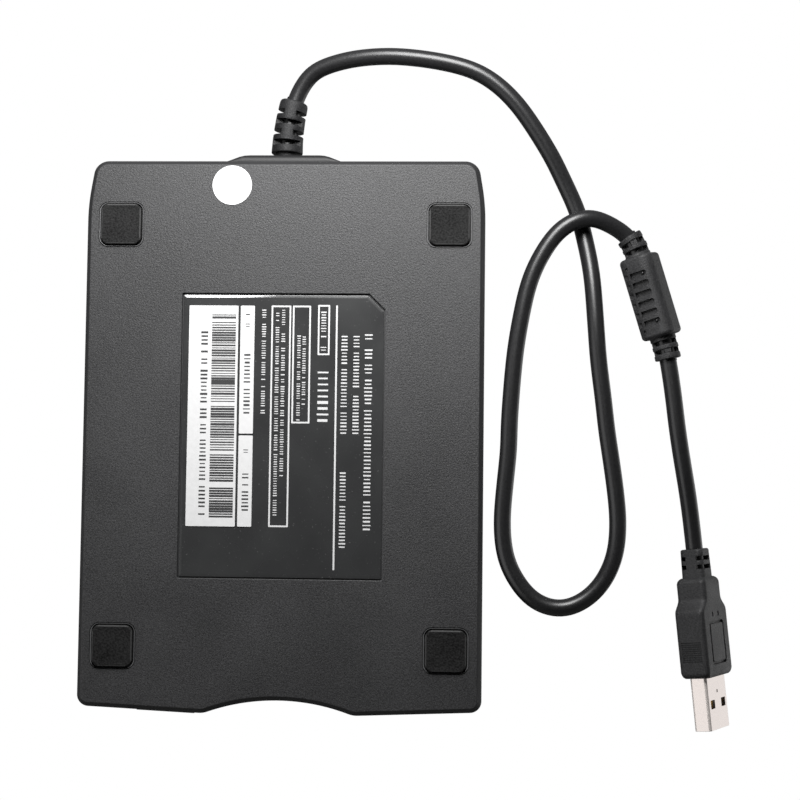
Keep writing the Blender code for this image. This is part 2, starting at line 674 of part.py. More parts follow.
def make_bezel():
    """Front panel between the covers, with the disk slot, the button's hole and the door's ears."""
    front = [point for point in rounded(CASE_CORNERS, BEZEL_SET)
             if point[1] < BEZEL_BACK_Y and abs(point[0]) < BEZEL_HALF]
    front.sort(key=lambda point: point[0])
    end_y = front_edge_y(BEZEL_HALF, BEZEL_SET)
    outline = [(-BEZEL_HALF, end_y)] + front + [(BEZEL_HALF, end_y)]
    outline += [(BEZEL_HALF, BEZEL_BACK_Y), (-BEZEL_HALF, BEZEL_BACK_Y)]
    bezel = piece("front_bezel", prism(outline, BEZEL_Z, BEZEL_TOP_Z), bezel_plastic)
    ear_in = DOOR_HALF + SEAT_GAP
    ear_low = DOOR_AXIS_Z - EAR_HEIGHT / 2
    ears = []
    for side in (-1, 1):
        edges = sorted((side * ear_in, side * BEZEL_HALF))
        ears.append(box(*edges, BEZEL_BACK_Y - BEZEL_WALL / 2, BEZEL_BACK_Y + EAR_LENGTH,
                        ear_low, ROOF_Z - EAR_TOP_GAP))
    join(bezel, *ears)
    slot = box(-SLOT_HALF, SLOT_HALF, FRONT_Y - OVERRUN, BEZEL_BACK_Y + OVERRUN, BAY_Z, BAY_TOP_Z)
    half = BUTTON_WIDTH / 2 + SEAT_GAP
    hole = box(BUTTON_X - half, BUTTON_X + half, FRONT_Y - OVERRUN, BEZEL_BACK_Y + OVERRUN,
               BUTTON_Z - SEAT_GAP, BUTTON_TOP_Z + SEAT_GAP)
    lamp = turned([(FRONT_Y - OVERRUN, LAMP_RADIUS + RUNNING_GAP),
                   (BEZEL_BACK_Y + OVERRUN, LAMP_RADIUS + RUNNING_GAP)],
                  (-LAMP_X, 0.0, LAMP_Z), "Y", 12)
    pins = [turned([(side * (ear_in - OVERRUN / 2), DOOR_PIN + RUNNING_GAP),
                    (side * (DOOR_HALF + DOOR_SIDE - SEAT_GAP / 2), DOOR_PIN + RUNNING_GAP)],
                   (0.0, DOOR_AXIS_Y, DOOR_AXIS_Z), "X", 12) for side in (-1, 1)]
    cut(bezel, slot, hole, lamp, *pins)
    pocket_front = ARM_FRONT_Y - BUTTON_TRAVEL - SEAT_GAP
    cut(bezel, box(BUTTON_X - half, BEZEL_HALF + OVERRUN, pocket_front, BEZEL_BACK_Y + OVERRUN,
                   ARM_Z - SEAT_GAP, BUTTON_TOP_Z + SEAT_GAP))
    return bezel


def make_door():
    """Dust door hung from its barrel behind the slot, and the coil that shuts it."""
    spring_x = DOOR_HALF - SEAT_GAP - DOOR_SPRING_LENGTH - SEAT_GAP
    barrel = turned([(-DOOR_HALF, DOOR_BARREL), (spring_x, DOOR_BARREL)],
                    (0.0, DOOR_AXIS_Y, DOOR_AXIS_Z), "X", 10)
    door = piece("dust_door", barrel, bezel_plastic, (0.0, DOOR_AXIS_Y, DOOR_AXIS_Z))
    notch_z = DOOR_AXIS_Z - DOOR_SPRING_RADIUS - SEAT_GAP
    low = DOOR_AXIS_Z - DOOR_LENGTH
    front = DOOR_AXIS_Y - DOOR_THICK
    profile = [(-DOOR_HALF, low), (DOOR_HALF, low), (DOOR_HALF, notch_z), (spring_x, notch_z),
               (spring_x, DOOR_AXIS_Z - DOOR_BARREL / 4), (-DOOR_HALF, DOOR_AXIS_Z - DOOR_BARREL / 4)]
    join(door, loft([[(x, y, z) for x, z in profile] for y in (front, DOOR_AXIS_Y)]))
    tip = DOOR_HALF + DOOR_SIDE - 2 * SEAT_GAP
    pin = turned([(-tip, DOOR_PIN), (tip, DOOR_PIN)], (0.0, DOOR_AXIS_Y, DOOR_AXIS_Z), "X", 10)
    join(door, pin)
    start = spring_x + SEAT_GAP
    inner = DOOR_SPRING_RADIUS - DOOR_SPRING_WIRE
    profile = [(start, inner), (start, DOOR_SPRING_RADIUS),
               (start + DOOR_SPRING_LENGTH, DOOR_SPRING_RADIUS),
               (start + DOOR_SPRING_LENGTH, inner)]
    piece("dust_door_spring", turned(profile, (0.0, DOOR_AXIS_Y, DOOR_AXIS_Z), "X", 12, closed=True),
          spring_steel, (0.0, DOOR_AXIS_Y, DOOR_AXIS_Z))


# Slide plate, holder and their cam
PIN_RADIUS = 0.0008
PIN_FRONT_SETBACK = 0.0163
PIN_REAR_SETBACK = 0.0130
FLANGE_RISE = 0.0005
SLIDE_TAIL = 0.0030
STRIP_WIDTH = 0.0070
HEAD_CLEARANCE = 0.0027
LIP_WIDTH = 0.0059
HOLDER_TAIL = 0.0110
HOLDER_STOP = 0.0009
ARM_SLOT_HALF = 0.0075
TAB_LENGTH = 0.0035
PIN_PLACES_Y = (HOLDER_FRONT_Y + PIN_FRONT_SETBACK, DISK_LEAD_Y - PIN_REAR_SETBACK)
PIN_Z = BAY_Z + BAY_HEIGHT / 2
WEB_FRONT_Y = HOLDER_FRONT_Y + BUTTON_TRAVEL
WEB_REAR_Y = TRACK_Y - HEAD_TRAVEL - HEAD_CLEARANCE
FLANGE_Z = CHASSIS_TOP_Z + FLANGE_RISE
TAB_Y = (ARM_FRONT_Y + ARM_BACK_Y) / 2


def capsule(y_start, z_start, y_end, z_end, radius, steps):
    """Outline of a slot with round ends in the Y-Z plane."""
    run = math.degrees(math.atan2(z_end - z_start, y_end - y_start))
    return (arc(y_end, z_end, radius, run - 90, run + 90, steps)
            + arc(y_start, z_start, radius, run + 90, run + 270, steps))


def make_slide_plate():
    """Steel plate over the holder, with a flange and two slanted cam slots at each side."""
    rear = DISK_LEAD_Y - SLIDE_TAIL
    strip = FLANGE_OUT - STRIP_WIDTH
    plan = [(-FLANGE_OUT, WEB_FRONT_Y), (FLANGE_OUT, WEB_FRONT_Y), (FLANGE_OUT, rear), (strip, rear),
            (strip, WEB_REAR_Y), (-strip, WEB_REAR_Y), (-strip, rear), (-FLANGE_OUT, rear)]
    plate = piece("slide_plate", prism(plan, WEB_Z, WEB_TOP_Z), zinc_steel)
    front = TAB_Y - SLIDE_SHEET / 2
    legs_y = SPINDLE_Y
    flanges = []
    for side in (-1, 1):
        edges = sorted((side * FLANGE_IN, side * FLANGE_OUT))
        start = front if side > 0 else WEB_FRONT_Y
        step = WEB_FRONT_Y + STRIP_WIDTH
        profile = [(start, FLANGE_Z), (legs_y - SPRING_LEG / 2, FLANGE_Z),
                   (legs_y - SPRING_LEG / 2, SPRING_LEG_Z),
                   (legs_y + SPRING_LEG / 2, SPRING_LEG_Z), (legs_y + SPRING_LEG / 2, FLANGE_Z),
                   (rear, FLANGE_Z), (rear, WEB_TOP_Z - SLIDE_SHEET / 3),
                   (WEB_FRONT_Y, WEB_TOP_Z - SLIDE_SHEET / 3)]
        if side > 0:
            profile += [(WEB_FRONT_Y, BUTTON_TOP_Z), (start, BUTTON_TOP_Z)]
        flanges.append(loft([[(x, y, z) for y, z in profile] for x in edges]))
    join(plate, *flanges)
    tab = box(FLANGE_OUT - TAB_LENGTH, FLANGE_OUT - SLIDE_SHEET / 3, TAB_Y - SLIDE_SHEET / 2,
              TAB_Y + SLIDE_SHEET / 2, FLANGE_Z + SKIN_GAP, BUTTON_TOP_Z - SKIN_GAP)
    join(plate, tab)
    radius = PIN_RADIUS + SEAT_GAP
    slots = []
    for y in PIN_PLACES_Y:
        outline = capsule(y, PIN_Z, y + BUTTON_TRAVEL, PIN_Z - HOLDER_DROP, radius, 4)
        for side in (-1, 1):
            edges = sorted((side * (FLANGE_IN - OVERRUN / 4), side * (FLANGE_OUT + OVERRUN / 4)))
            slots.append(loft([[(x, py, pz) for py, pz in outline] for x in edges]))
    cut(plate, *slots)
    return plate


LEVER_X = -0.038
LEVER_SETBACK = 0.0050
LEVER_REACH = 0.030
LEVER_REST_DEG = -45.0
LEVER_SWING_DEG = 37.0
LEVER_WIDTH = 0.0040
LEVER_FINGER_RADIUS = 0.0010
LEVER_FINGER_GAP = 0.0008
LEVER_SLOT_HALF = 0.0016
LEVER_SLOT_MARGIN_DEG = 3.5
RIVET_RADIUS = 0.0010
RIVET_HEAD_RADIUS = 0.0018
RIVET_HEAD_THICK = 0.0004
LEVER_Y = DISK_LEAD_Y + LEVER_SETBACK


def make_holder():
    """Steel cassette that the disk slides into, with two pins at each side."""
    rear = DISK_LEAD_Y + HOLDER_TAIL
    side_rear = DISK_LEAD_Y + HOLDER_STOP
    tail_half = FLANGE_OUT - STRIP_WIDTH
    plan = [(-HOLDER_HALF, HOLDER_FRONT_Y), (HOLDER_HALF, HOLDER_FRONT_Y), (HOLDER_HALF, side_rear),
            (tail_half, side_rear), (tail_half, rear), (ARM_SLOT_HALF, rear), (ARM_SLOT_HALF, WEB_REAR_Y),
            (-ARM_SLOT_HALF, WEB_REAR_Y), (-ARM_SLOT_HALF, rear), (-tail_half, rear),
            (-tail_half, side_rear),
            (-HOLDER_HALF, side_rear)]
    holder = piece("disk_holder", prism(plan, BAY_TOP_Z, HOLDER_TOP_Z), zinc_steel,
                   (0.0, SPINDLE_Y, PIN_Z))
    channels = []
    for side in (-1, 1):
        profile = [(BAY_HALF - LIP_WIDTH, LIP_Z), (HOLDER_HALF, LIP_Z),
                   (HOLDER_HALF, HOLDER_TOP_Z - HOLDER_SHEET / 3),
                   (BAY_HALF, HOLDER_TOP_Z - HOLDER_SHEET / 3), (BAY_HALF, BAY_Z),
                   (BAY_HALF - LIP_WIDTH, BAY_Z)]
        channels.append(loft([[(side * x, y, z) for x, z in profile] for y in (HOLDER_FRONT_Y, side_rear)]))
    join(holder, *channels)
    stops = []
    pins = []
    for side in (-1, 1):
        edges = sorted((side * (BAY_HALF - LIP_WIDTH), side * (BAY_HALF + HOLDER_SHEET / 2)))
        stops.append(box(*edges, DISK_LEAD_Y + SEAT_GAP, side_rear, BAY_Z - HOLDER_SHEET / 2,
                         BAY_TOP_Z + HOLDER_SHEET / 2))
        reach = sorted((side * (HOLDER_HALF - HOLDER_SHEET / 2), side * (CHASSIS_IN + CHASSIS_SHEET / 2)))
        for y in PIN_PLACES_Y:
            pins.append(turned([(reach[0], PIN_RADIUS), (reach[1], PIN_RADIUS)], (0.0, y, PIN_Z), "X", 10))
    join(holder, *stops, *pins)
    first = LEVER_REST_DEG - LEVER_SLOT_MARGIN_DEG
    last = LEVER_REST_DEG + LEVER_SWING_DEG + LEVER_SLOT_MARGIN_DEG
    band = arc(LEVER_X, LEVER_Y, LEVER_REACH + LEVER_SLOT_HALF, first, last, 8)
    band += arc(LEVER_X, LEVER_Y, LEVER_REACH - LEVER_SLOT_HALF, last, first, 8)
    rivet_hole = turned([(BAY_TOP_Z - OVERRUN, RIVET_RADIUS + SEAT_GAP),
                         (HOLDER_TOP_Z + OVERRUN, RIVET_RADIUS + SEAT_GAP)],
                        (LEVER_X, LEVER_Y, 0.0), "Z", 12)
    cut(holder, prism(band, BAY_TOP_Z - OVERRUN, HOLDER_TOP_Z + OVERRUN), rivet_hole)
    return holder


def make_lever():
    """Shutter lever on the holder, its finger, and the rivet that it turns on."""
    rest = math.radians(LEVER_REST_DEG)
    tip = (LEVER_X + LEVER_REACH * math.cos(rest), LEVER_Y + LEVER_REACH * math.sin(rest))
    half = LEVER_WIDTH / 2
    outline = (arc(*tip, half, LEVER_REST_DEG - 90, LEVER_REST_DEG + 90, 5)
               + arc(LEVER_X, LEVER_Y, half, LEVER_REST_DEG + 90, LEVER_REST_DEG + 270, 5))
    lever = piece("shutter_lever", prism(outline, WEB_Z, WEB_TOP_Z), zinc_steel, (LEVER_X, LEVER_Y, WEB_Z))
    finger = turned([(BAY_Z + LEVER_FINGER_GAP, LEVER_FINGER_RADIUS),
                     (WEB_Z + SLIDE_SHEET / 2, LEVER_FINGER_RADIUS)],
                    (*tip, 0.0), "Z", 10)
    join(lever, finger)
    hole = turned([(WEB_Z - OVERRUN, RIVET_RADIUS + RUNNING_GAP),
                   (WEB_TOP_Z + OVERRUN, RIVET_RADIUS + RUNNING_GAP)],
                  (LEVER_X, LEVER_Y, 0.0), "Z", 12)
    cut(lever, hole)
    low = BAY_TOP_Z - SEAT_GAP
    high = WEB_TOP_Z + SEAT_GAP
    profile = [(low - RIVET_HEAD_THICK, RIVET_HEAD_RADIUS), (low, RIVET_HEAD_RADIUS), (low, RIVET_RADIUS),
               (high, RIVET_RADIUS), (high, RIVET_HEAD_RADIUS),
               (high + RIVET_HEAD_THICK, RIVET_HEAD_RADIUS)]
    rivet = piece("lever_rivet", turned(profile, (LEVER_X, LEVER_Y, 0.0), "Z", 12), zinc_steel,
                  (LEVER_X, LEVER_Y, WEB_Z))
    smooth(rivet)


def make_eject_button():
    """Push button with the arm that clips it to the slide plate's tab."""
    face = BUTTON_FACE_Y
    block_back = CHASSIS_FRONT_Y - BUTTON_WEB
    half = BUTTON_WIDTH / 2
    button = piece("eject_button",
                   box(BUTTON_X - half, BUTTON_X + half, face, block_back, BUTTON_Z, BUTTON_TOP_Z),
                   bezel_plastic, (BUTTON_X, face, BUTTON_Z + BUTTON_HEIGHT / 2))
    arm_end = BEZEL_HALF
    plan = [(BUTTON_X - half + SKIN_GAP, block_back - BUTTON_WEB),
            (BUTTON_X + half - SKIN_GAP, block_back - BUTTON_WEB),
            (BUTTON_X + half - SKIN_GAP, ARM_FRONT_Y), (arm_end, ARM_FRONT_Y),
            (arm_end, TAB_Y - SLIDE_SHEET / 2 - SEAT_GAP),
            (FLANGE_OUT - TAB_LENGTH - SEAT_GAP, TAB_Y - SLIDE_SHEET / 2 - SEAT_GAP),
            (FLANGE_OUT - TAB_LENGTH - SEAT_GAP, TAB_Y + SLIDE_SHEET / 2 + SEAT_GAP),
            (arm_end, TAB_Y + SLIDE_SHEET / 2 + SEAT_GAP), (arm_end, ARM_BACK_Y),
            (BUTTON_X - half + SKIN_GAP, ARM_BACK_Y)]
    join(button, prism(plan, ARM_Z, BUTTON_TOP_Z - SKIN_GAP))
    return button


# Springs under the chassis that pull the slide plate forward
SPRING_LEG = 0.0016
SPRING_LEG_Z = FLOOR_Z + 3 * SEAT_GAP
SPRING_RADIUS = 0.0010
SPRING_LENGTH = 0.0136
SPRING_COILS = 9
SPRING_INSET = 0.0016
SPRING_WIRE_SHARE = 0.25
HOOK_THICK = 0.0008
HOOK_REACH = 0.0012


def spring_places():
    """Where each slide spring starts and ends along Y, and its place across."""
    end = SPINDLE_Y - SPRING_LEG / 2 - SEAT_GAP
    return end - SPRING_LENGTH, end, FLANGE_OUT - SPRING_INSET


def make_slide_springs():
    """Tension coils, turned here with a ridge for each coil."""
    start, end, across = spring_places()
    centre_z = CHASSIS_Z - SEAT_GAP - SPRING_RADIUS
    thin = SPRING_RADIUS * (1 - SPRING_WIRE_SHARE)
    for name, side in (("right", 1), ("left", -1)):
        profile = []
        for i in range(2 * SPRING_COILS + 1):
            along = start + (end - start) * i / (2 * SPRING_COILS)
            profile.append((along, SPRING_RADIUS if i % 2 else thin))
        piece(f"slide_spring_{name}", turned(profile, (side * across, 0.0, centre_z), "Y", 8), spring_steel,
              (side * across, start, centre_z))


# Spindle motor
ROTOR_RADIUS = 0.0210
ROTOR_RIM = 0.0015
ROTOR_PLATE = 0.0006
TABLE_RADIUS = 0.0110
TABLE_THICK = 0.0006
HUB_PIN_RADIUS = 0.00195
HUB_PIN_HEIGHT = 0.0018
DRIVE_PIN_RADIUS = 0.0012
DRIVE_PIN_PLACE = 0.0085
DRIVE_PIN_HEIGHT = 0.0011
SHAFT_RADIUS = 0.0015
BEARING_RADIUS = 0.0040
BEARING_FLANGE = 0.0055
BEARING_FLANGE_THICK = 0.0006
STATOR_BEARING_GAP = 0.0015
STATOR_RING_WIDTH = 0.0030
STATOR_AIR_GAP = 0.0020
STATOR_INNER = BEARING_FLANGE + STATOR_BEARING_GAP
STATOR_RING = STATOR_INNER + STATOR_RING_WIDTH
STATOR_OUTER = ROTOR_RADIUS - ROTOR_RIM - STATOR_AIR_GAP
STATOR_THICK = 0.0015
STATOR_POLES = 12
STATOR_POLE_SHARE = 0.55
MOTOR_BOARD_HALF = 0.0270
MOTOR_BOARD_FRONT = 0.0265
TABLE_RISE = 0.00054
TABLE_TOP_Z = CHASSIS_TOP_Z + TABLE_THICK + TABLE_RISE


def make_spindle():
    """Motor board, stator, bearing and the rotor with its table and pins."""
    centre = (0.0, SPINDLE_Y, 0.0)
    board = box(-MOTOR_BOARD_HALF, MOTOR_BOARD_HALF, SPINDLE_Y - MOTOR_BOARD_FRONT,
                MOTOR_BOARD_REAR_Y,
                BOARD_Z, BOARD_Z + BOARD_THICK)
    piece("spindle_motor_board", board, board_green)
    pole_half = 180 / STATOR_POLES * STATOR_POLE_SHARE
    outline = []
    for pole in range(STATOR_POLES):
        middle = 360 / STATOR_POLES * pole
        outline += arc(0.0, SPINDLE_Y, STATOR_OUTER, middle - pole_half, middle + pole_half, 1)
        outline += arc(0.0, SPINDLE_Y, STATOR_RING, middle + pole_half,
                       middle + 360 / STATOR_POLES - pole_half, 1)
    stator = piece("spindle_stator", prism(outline, CHIP_Z, CHIP_Z + STATOR_THICK), copper, centre)
    cut(stator, turned([(CHIP_Z - OVERRUN, STATOR_INNER), (CHIP_Z + STATOR_THICK + OVERRUN, STATOR_INNER)],
                       centre, "Z", 24))
    plate_top = TABLE_TOP_Z - TABLE_THICK
    plate_low = plate_top - ROTOR_PLATE
    bore = SHAFT_RADIUS + RUNNING_GAP
    bearing_top = plate_low - SEAT_GAP
    profile = [(CHIP_Z, bore), (CHIP_Z, BEARING_FLANGE), (CHIP_Z + BEARING_FLANGE_THICK, BEARING_FLANGE),
               (CHIP_Z + BEARING_FLANGE_THICK, BEARING_RADIUS), (bearing_top, BEARING_RADIUS),
               (bearing_top, bore)]
    smooth(piece("spindle_bearing", turned(profile, centre, "Z", 20, closed=True), bronze, centre))
    rim_low = CHIP_Z + SEAT_GAP
    inner = ROTOR_RADIUS - ROTOR_RIM
    pin_top = TABLE_TOP_Z + HUB_PIN_HEIGHT
    profile = [(CHIP_Z + SEAT_GAP, SHAFT_RADIUS), (plate_low, SHAFT_RADIUS), (plate_low, inner),
               (rim_low, inner),
               (rim_low, ROTOR_RADIUS), (plate_top, ROTOR_RADIUS), (plate_top, TABLE_RADIUS),
               (TABLE_TOP_Z, TABLE_RADIUS), (TABLE_TOP_Z, HUB_PIN_RADIUS), (pin_top, HUB_PIN_RADIUS)]
    rotor = piece("spindle_rotor", turned(profile, centre, "Z", 32), cast_aluminium, centre)
    smooth(rotor)
    join(rotor, turned([(TABLE_TOP_Z - TABLE_THICK / 2, DRIVE_PIN_RADIUS),
                        (TABLE_TOP_Z + DRIVE_PIN_HEIGHT, DRIVE_PIN_RADIUS)],
                       (DRIVE_PIN_PLACE, SPINDLE_Y, 0.0), "Z", 10))


# Head carriage, its rods and the stepper motor
ROD_X = 0.0100
ROD_RADIUS = 0.0010
ROD_GAP = 0.00015
ROD_FRONT = 0.0110
ROD_BACK = 0.0030
CARRIAGE_HALF = 0.0060
CARRIAGE_FLOOR_GAP = 0.0011
CARRIAGE_RISE = 0.0005
BUSH_HALF = 0.0022
BUSH_TOP = 0.0007
LONG_BUSH = 0.0240
SHORT_BUSH = 0.0060
CARRIAGE_FRONT = 0.0025
HINGE_BLOCK = 0.0070
HINGE_SETBACK = 0.0030
HINGE_RISE = 0.0046
EAR_INNER = 0.0036
HINGE_EAR_RADIUS = 0.0015
HINGE_PIN_RADIUS = 0.0006
ARM_HALF = 0.0045
ARM_THICK = 0.0006
ARM_LIFT_DEG = 9.6
HEAD_WIDTH = 0.0036
HEAD_LENGTH = 0.0028
UPPER_HEAD_THICK = 0.0012
HEAD_TOUCH_GAP = 0.0001
WING_SETBACK = 0.0125
WING_LENGTH = 0.0020
WING_THICK = 0.0006
WING_OVERLAP = 0.0035
MOTOR_RADIUS = 0.0050
MOTOR_FLOOR_GAP = 0.0008
SCREW_X = 0.0170
SCREW_THREAD_RADIUS = 0.0012
SCREW_JOURNAL_RADIUS = 0.0008
SCREW_LEAD = 0.00375
SCREW_THREAD_SHARE = 0.15
FOLLOWER_WALL = 0.0010
FOLLOWER_RING = SCREW_THREAD_RADIUS + SEAT_GAP + FOLLOWER_WALL

ROD_Z = CHASSIS_TOP_Z - ROD_RADIUS
CARRIAGE_Z = FLOOR_Z + CARRIAGE_FLOOR_GAP
CARRIAGE_TOP_Z = CHASSIS_TOP_Z + CARRIAGE_RISE
ROD_START_Y = TRACK_Y - ROD_FRONT
CARRIAGE_FRONT_Y = TRACK_Y - CARRIAGE_FRONT
MOTOR_BOARD_REAR_Y = CARRIAGE_FRONT_Y - HEAD_TRAVEL - SEAT_GAP
BLOCK_Y = FOLLOWER_Y - FOLLOWER_THICK / 2 - SEAT_GAP
CARRIAGE_REAR_Y = BLOCK_Y + HINGE_BLOCK
HINGE_Y = BLOCK_Y + HINGE_SETBACK + HINGE_EAR_RADIUS / 2
MEDIA_Z = BAY_Z - HOLDER_DROP + DISK_THICK / 2
HINGE_Z = CHASSIS_TOP_Z + HINGE_RISE
SCREW_Z = FLOOR_Z + MOTOR_FLOOR_GAP + MOTOR_RADIUS
ROD_END_Y = CARRIAGE_REAR_Y + ROD_BACK
SADDLE_GAP = 0.0007
SADDLE_THICK = 0.0020
SADDLE_HALF = 0.0016
SLOT_SIDE_GAP = 0.0010
SLOT_HALF_WIDTH = ROD_X + BUSH_HALF + SLOT_SIDE_GAP


def make_carriage():
    """Carriage on its two rods, with the lead screw's follower and the arm's hinge ears."""
    base = box(-CARRIAGE_HALF, CARRIAGE_HALF, CARRIAGE_FRONT_Y, CARRIAGE_REAR_Y, CARRIAGE_Z, CARRIAGE_TOP_Z)
    carriage = piece("head_carriage", base, engineering_plastic, (0.0, TRACK_Y, ROD_Z))
    bush_top = ROD_Z + ROD_RADIUS + BUSH_TOP
    long_bush = box(-ROD_X - BUSH_HALF, -CARRIAGE_HALF + OVERRUN, CARRIAGE_REAR_Y - LONG_BUSH,
                    CARRIAGE_REAR_Y - SEAT_GAP, CARRIAGE_Z + SKIN_GAP, bush_top)
    short_y = CARRIAGE_REAR_Y - (LONG_BUSH - SHORT_BUSH) / 2
    short_bush = box(CARRIAGE_HALF - OVERRUN, ROD_X + BUSH_HALF, short_y - SHORT_BUSH, short_y,
                     CARRIAGE_Z + SKIN_GAP, bush_top)
    join(carriage, long_bush, short_bush)
    ear_top = HINGE_Z + HINGE_EAR_RADIUS
    half_ear = HINGE_EAR_RADIUS
    profile = [(-CARRIAGE_HALF + SKIN_GAP, CARRIAGE_TOP_Z - OVERRUN),
               (CARRIAGE_HALF - SKIN_GAP, CARRIAGE_TOP_Z - OVERRUN),
               (CARRIAGE_HALF - SKIN_GAP, ear_top), (EAR_INNER, ear_top),
               (EAR_INNER, HINGE_Z - 2 * half_ear),
               (-EAR_INNER, HINGE_Z - 2 * half_ear), (-EAR_INNER, ear_top),
               (-CARRIAGE_HALF + SKIN_GAP, ear_top)]
    ears = loft([[(x, y, z) for x, z in profile] for y in (BLOCK_Y, CARRIAGE_REAR_Y - SKIN_GAP)])
    join(carriage, ears)
    ring = FOLLOWER_RING
    follower = box(CARRIAGE_HALF - OVERRUN, SCREW_X + ring, FOLLOWER_Y - FOLLOWER_THICK / 2,
                   FOLLOWER_Y + FOLLOWER_THICK / 2, SCREW_Z - ring, SCREW_Z + ring)
    join(carriage, follower)
    bores = [turned([(CARRIAGE_REAR_Y - LONG_BUSH - OVERRUN, ROD_RADIUS + ROD_GAP),
                     (CARRIAGE_REAR_Y + OVERRUN, ROD_RADIUS + ROD_GAP)],
                    (side * ROD_X, 0.0, ROD_Z), "Y", 12) for side in (-1, 1)]
    screw_bore = turned([(FOLLOWER_Y - FOLLOWER_THICK, SCREW_THREAD_RADIUS + SEAT_GAP),
                         (FOLLOWER_Y + FOLLOWER_THICK, SCREW_THREAD_RADIUS + SEAT_GAP)],
                        (SCREW_X, 0.0, SCREW_Z), "Y", 14)
    pin_bore = turned([(-CARRIAGE_HALF - OVERRUN, HINGE_PIN_RADIUS + RUNNING_GAP),
                       (CARRIAGE_HALF + OVERRUN, HINGE_PIN_RADIUS + RUNNING_GAP)],
                      (0.0, HINGE_Y, HINGE_Z), "X", 12)
    cut(carriage, *bores, screw_bore, pin_bore)
    head = box(-HEAD_WIDTH / 2, HEAD_WIDTH / 2, TRACK_Y - HEAD_LENGTH / 2, TRACK_Y + HEAD_LENGTH / 2,
               CARRIAGE_TOP_Z + SEAT_GAP, MEDIA_Z - HEAD_TOUCH_GAP)
    piece("lower_head", head, ceramic, (0.0, TRACK_Y, CARRIAGE_TOP_Z))
    pin = turned([(-CARRIAGE_HALF, HINGE_PIN_RADIUS), (CARRIAGE_HALF, HINGE_PIN_RADIUS)],
                 (0.0, HINGE_Y, HINGE_Z), "X", 10)
    smooth(piece("head_arm_pin", pin, spring_steel, (0.0, HINGE_Y, HINGE_Z)))


def make_head_arm():
    """Upper head arm, modelled level on its hinge and then lifted to where it waits."""
    hinge = bpy.data.objects.new("head_arm_hinge", None)
    hinge.parent = case_frame
    hinge.location = (0.0, HINGE_Y, HINGE_Z)
    hinge.rotation_euler = (-math.radians(ARM_LIFT_DEG), 0.0, 0.0)
    bpy.context.scene.collection.objects.link(hinge)
    head_low = MEDIA_Z + HEAD_TOUCH_GAP - HINGE_Z
    head_high = head_low + UPPER_HEAD_THICK
    arm_low = head_high + SEAT_GAP
    arm_high = arm_low + ARM_THICK
    head_y = TRACK_Y - HINGE_Y
    barrel_radius = HINGE_EAR_RADIUS - SEAT_GAP
    barrel_half = EAR_INNER - SEAT_GAP
    barrel = turned([(-barrel_half, barrel_radius), (barrel_half, barrel_radius)], (0.0, 0.0, 0.0), "X", 12)
    arm = piece("upper_head_arm", barrel, engineering_plastic, (0.0, 0.0, 0.0), hinge)
    front = head_y - HEAD_LENGTH / 2 - SKIN_GAP
    narrow = barrel_half - SKIN_GAP
    shoulder = -HINGE_EAR_RADIUS - HINGE_SETBACK
    plan = [(-ARM_HALF, front), (ARM_HALF, front), (ARM_HALF, shoulder), (narrow, shoulder), (narrow, 0.0),
            (-narrow, 0.0), (-narrow, shoulder), (-ARM_HALF, shoulder)]
    join(arm, prism(plan, arm_low, arm_high))
    lift = math.radians(ARM_LIFT_DEG)
    wing_y = -WING_SETBACK
    rest_height = HOLDER_TOP_Z + SEAT_GAP - HINGE_Z
    wing_low = (rest_height + wing_y * math.sin(lift)) / math.cos(lift) + WING_LENGTH / 2 * math.tan(lift)
    wing_high = wing_low + WING_THICK
    post = ARM_HALF - WING_THICK
    profile = [(post, arm_low + ARM_THICK / 3), (ARM_HALF - SKIN_GAP, arm_low + ARM_THICK / 3),
               (ARM_HALF - SKIN_GAP, wing_low),
               (ARM_SLOT_HALF + WING_OVERLAP, wing_low), (ARM_SLOT_HALF + WING_OVERLAP, wing_high),
               (post, wing_high)]
    wing = loft([[(x, wing_y + offset, z) for x, z in profile] for offset in (-WING_LENGTH / 2,
                                                                              WING_LENGTH / 2)])
    join(arm, wing)
    bore = HINGE_PIN_RADIUS + RUNNING_GAP
    cut(arm,
        turned([(-barrel_half - OVERRUN, bore), (barrel_half + OVERRUN, bore)], (0.0, 0.0, 0.0), "X", 12))
    head = box(-HEAD_WIDTH / 2, HEAD_WIDTH / 2, head_y - HEAD_LENGTH / 2, head_y + HEAD_LENGTH / 2,
               head_low, head_high)
    piece("upper_head", head, ceramic, (0.0, 0.0, 0.0), hinge)


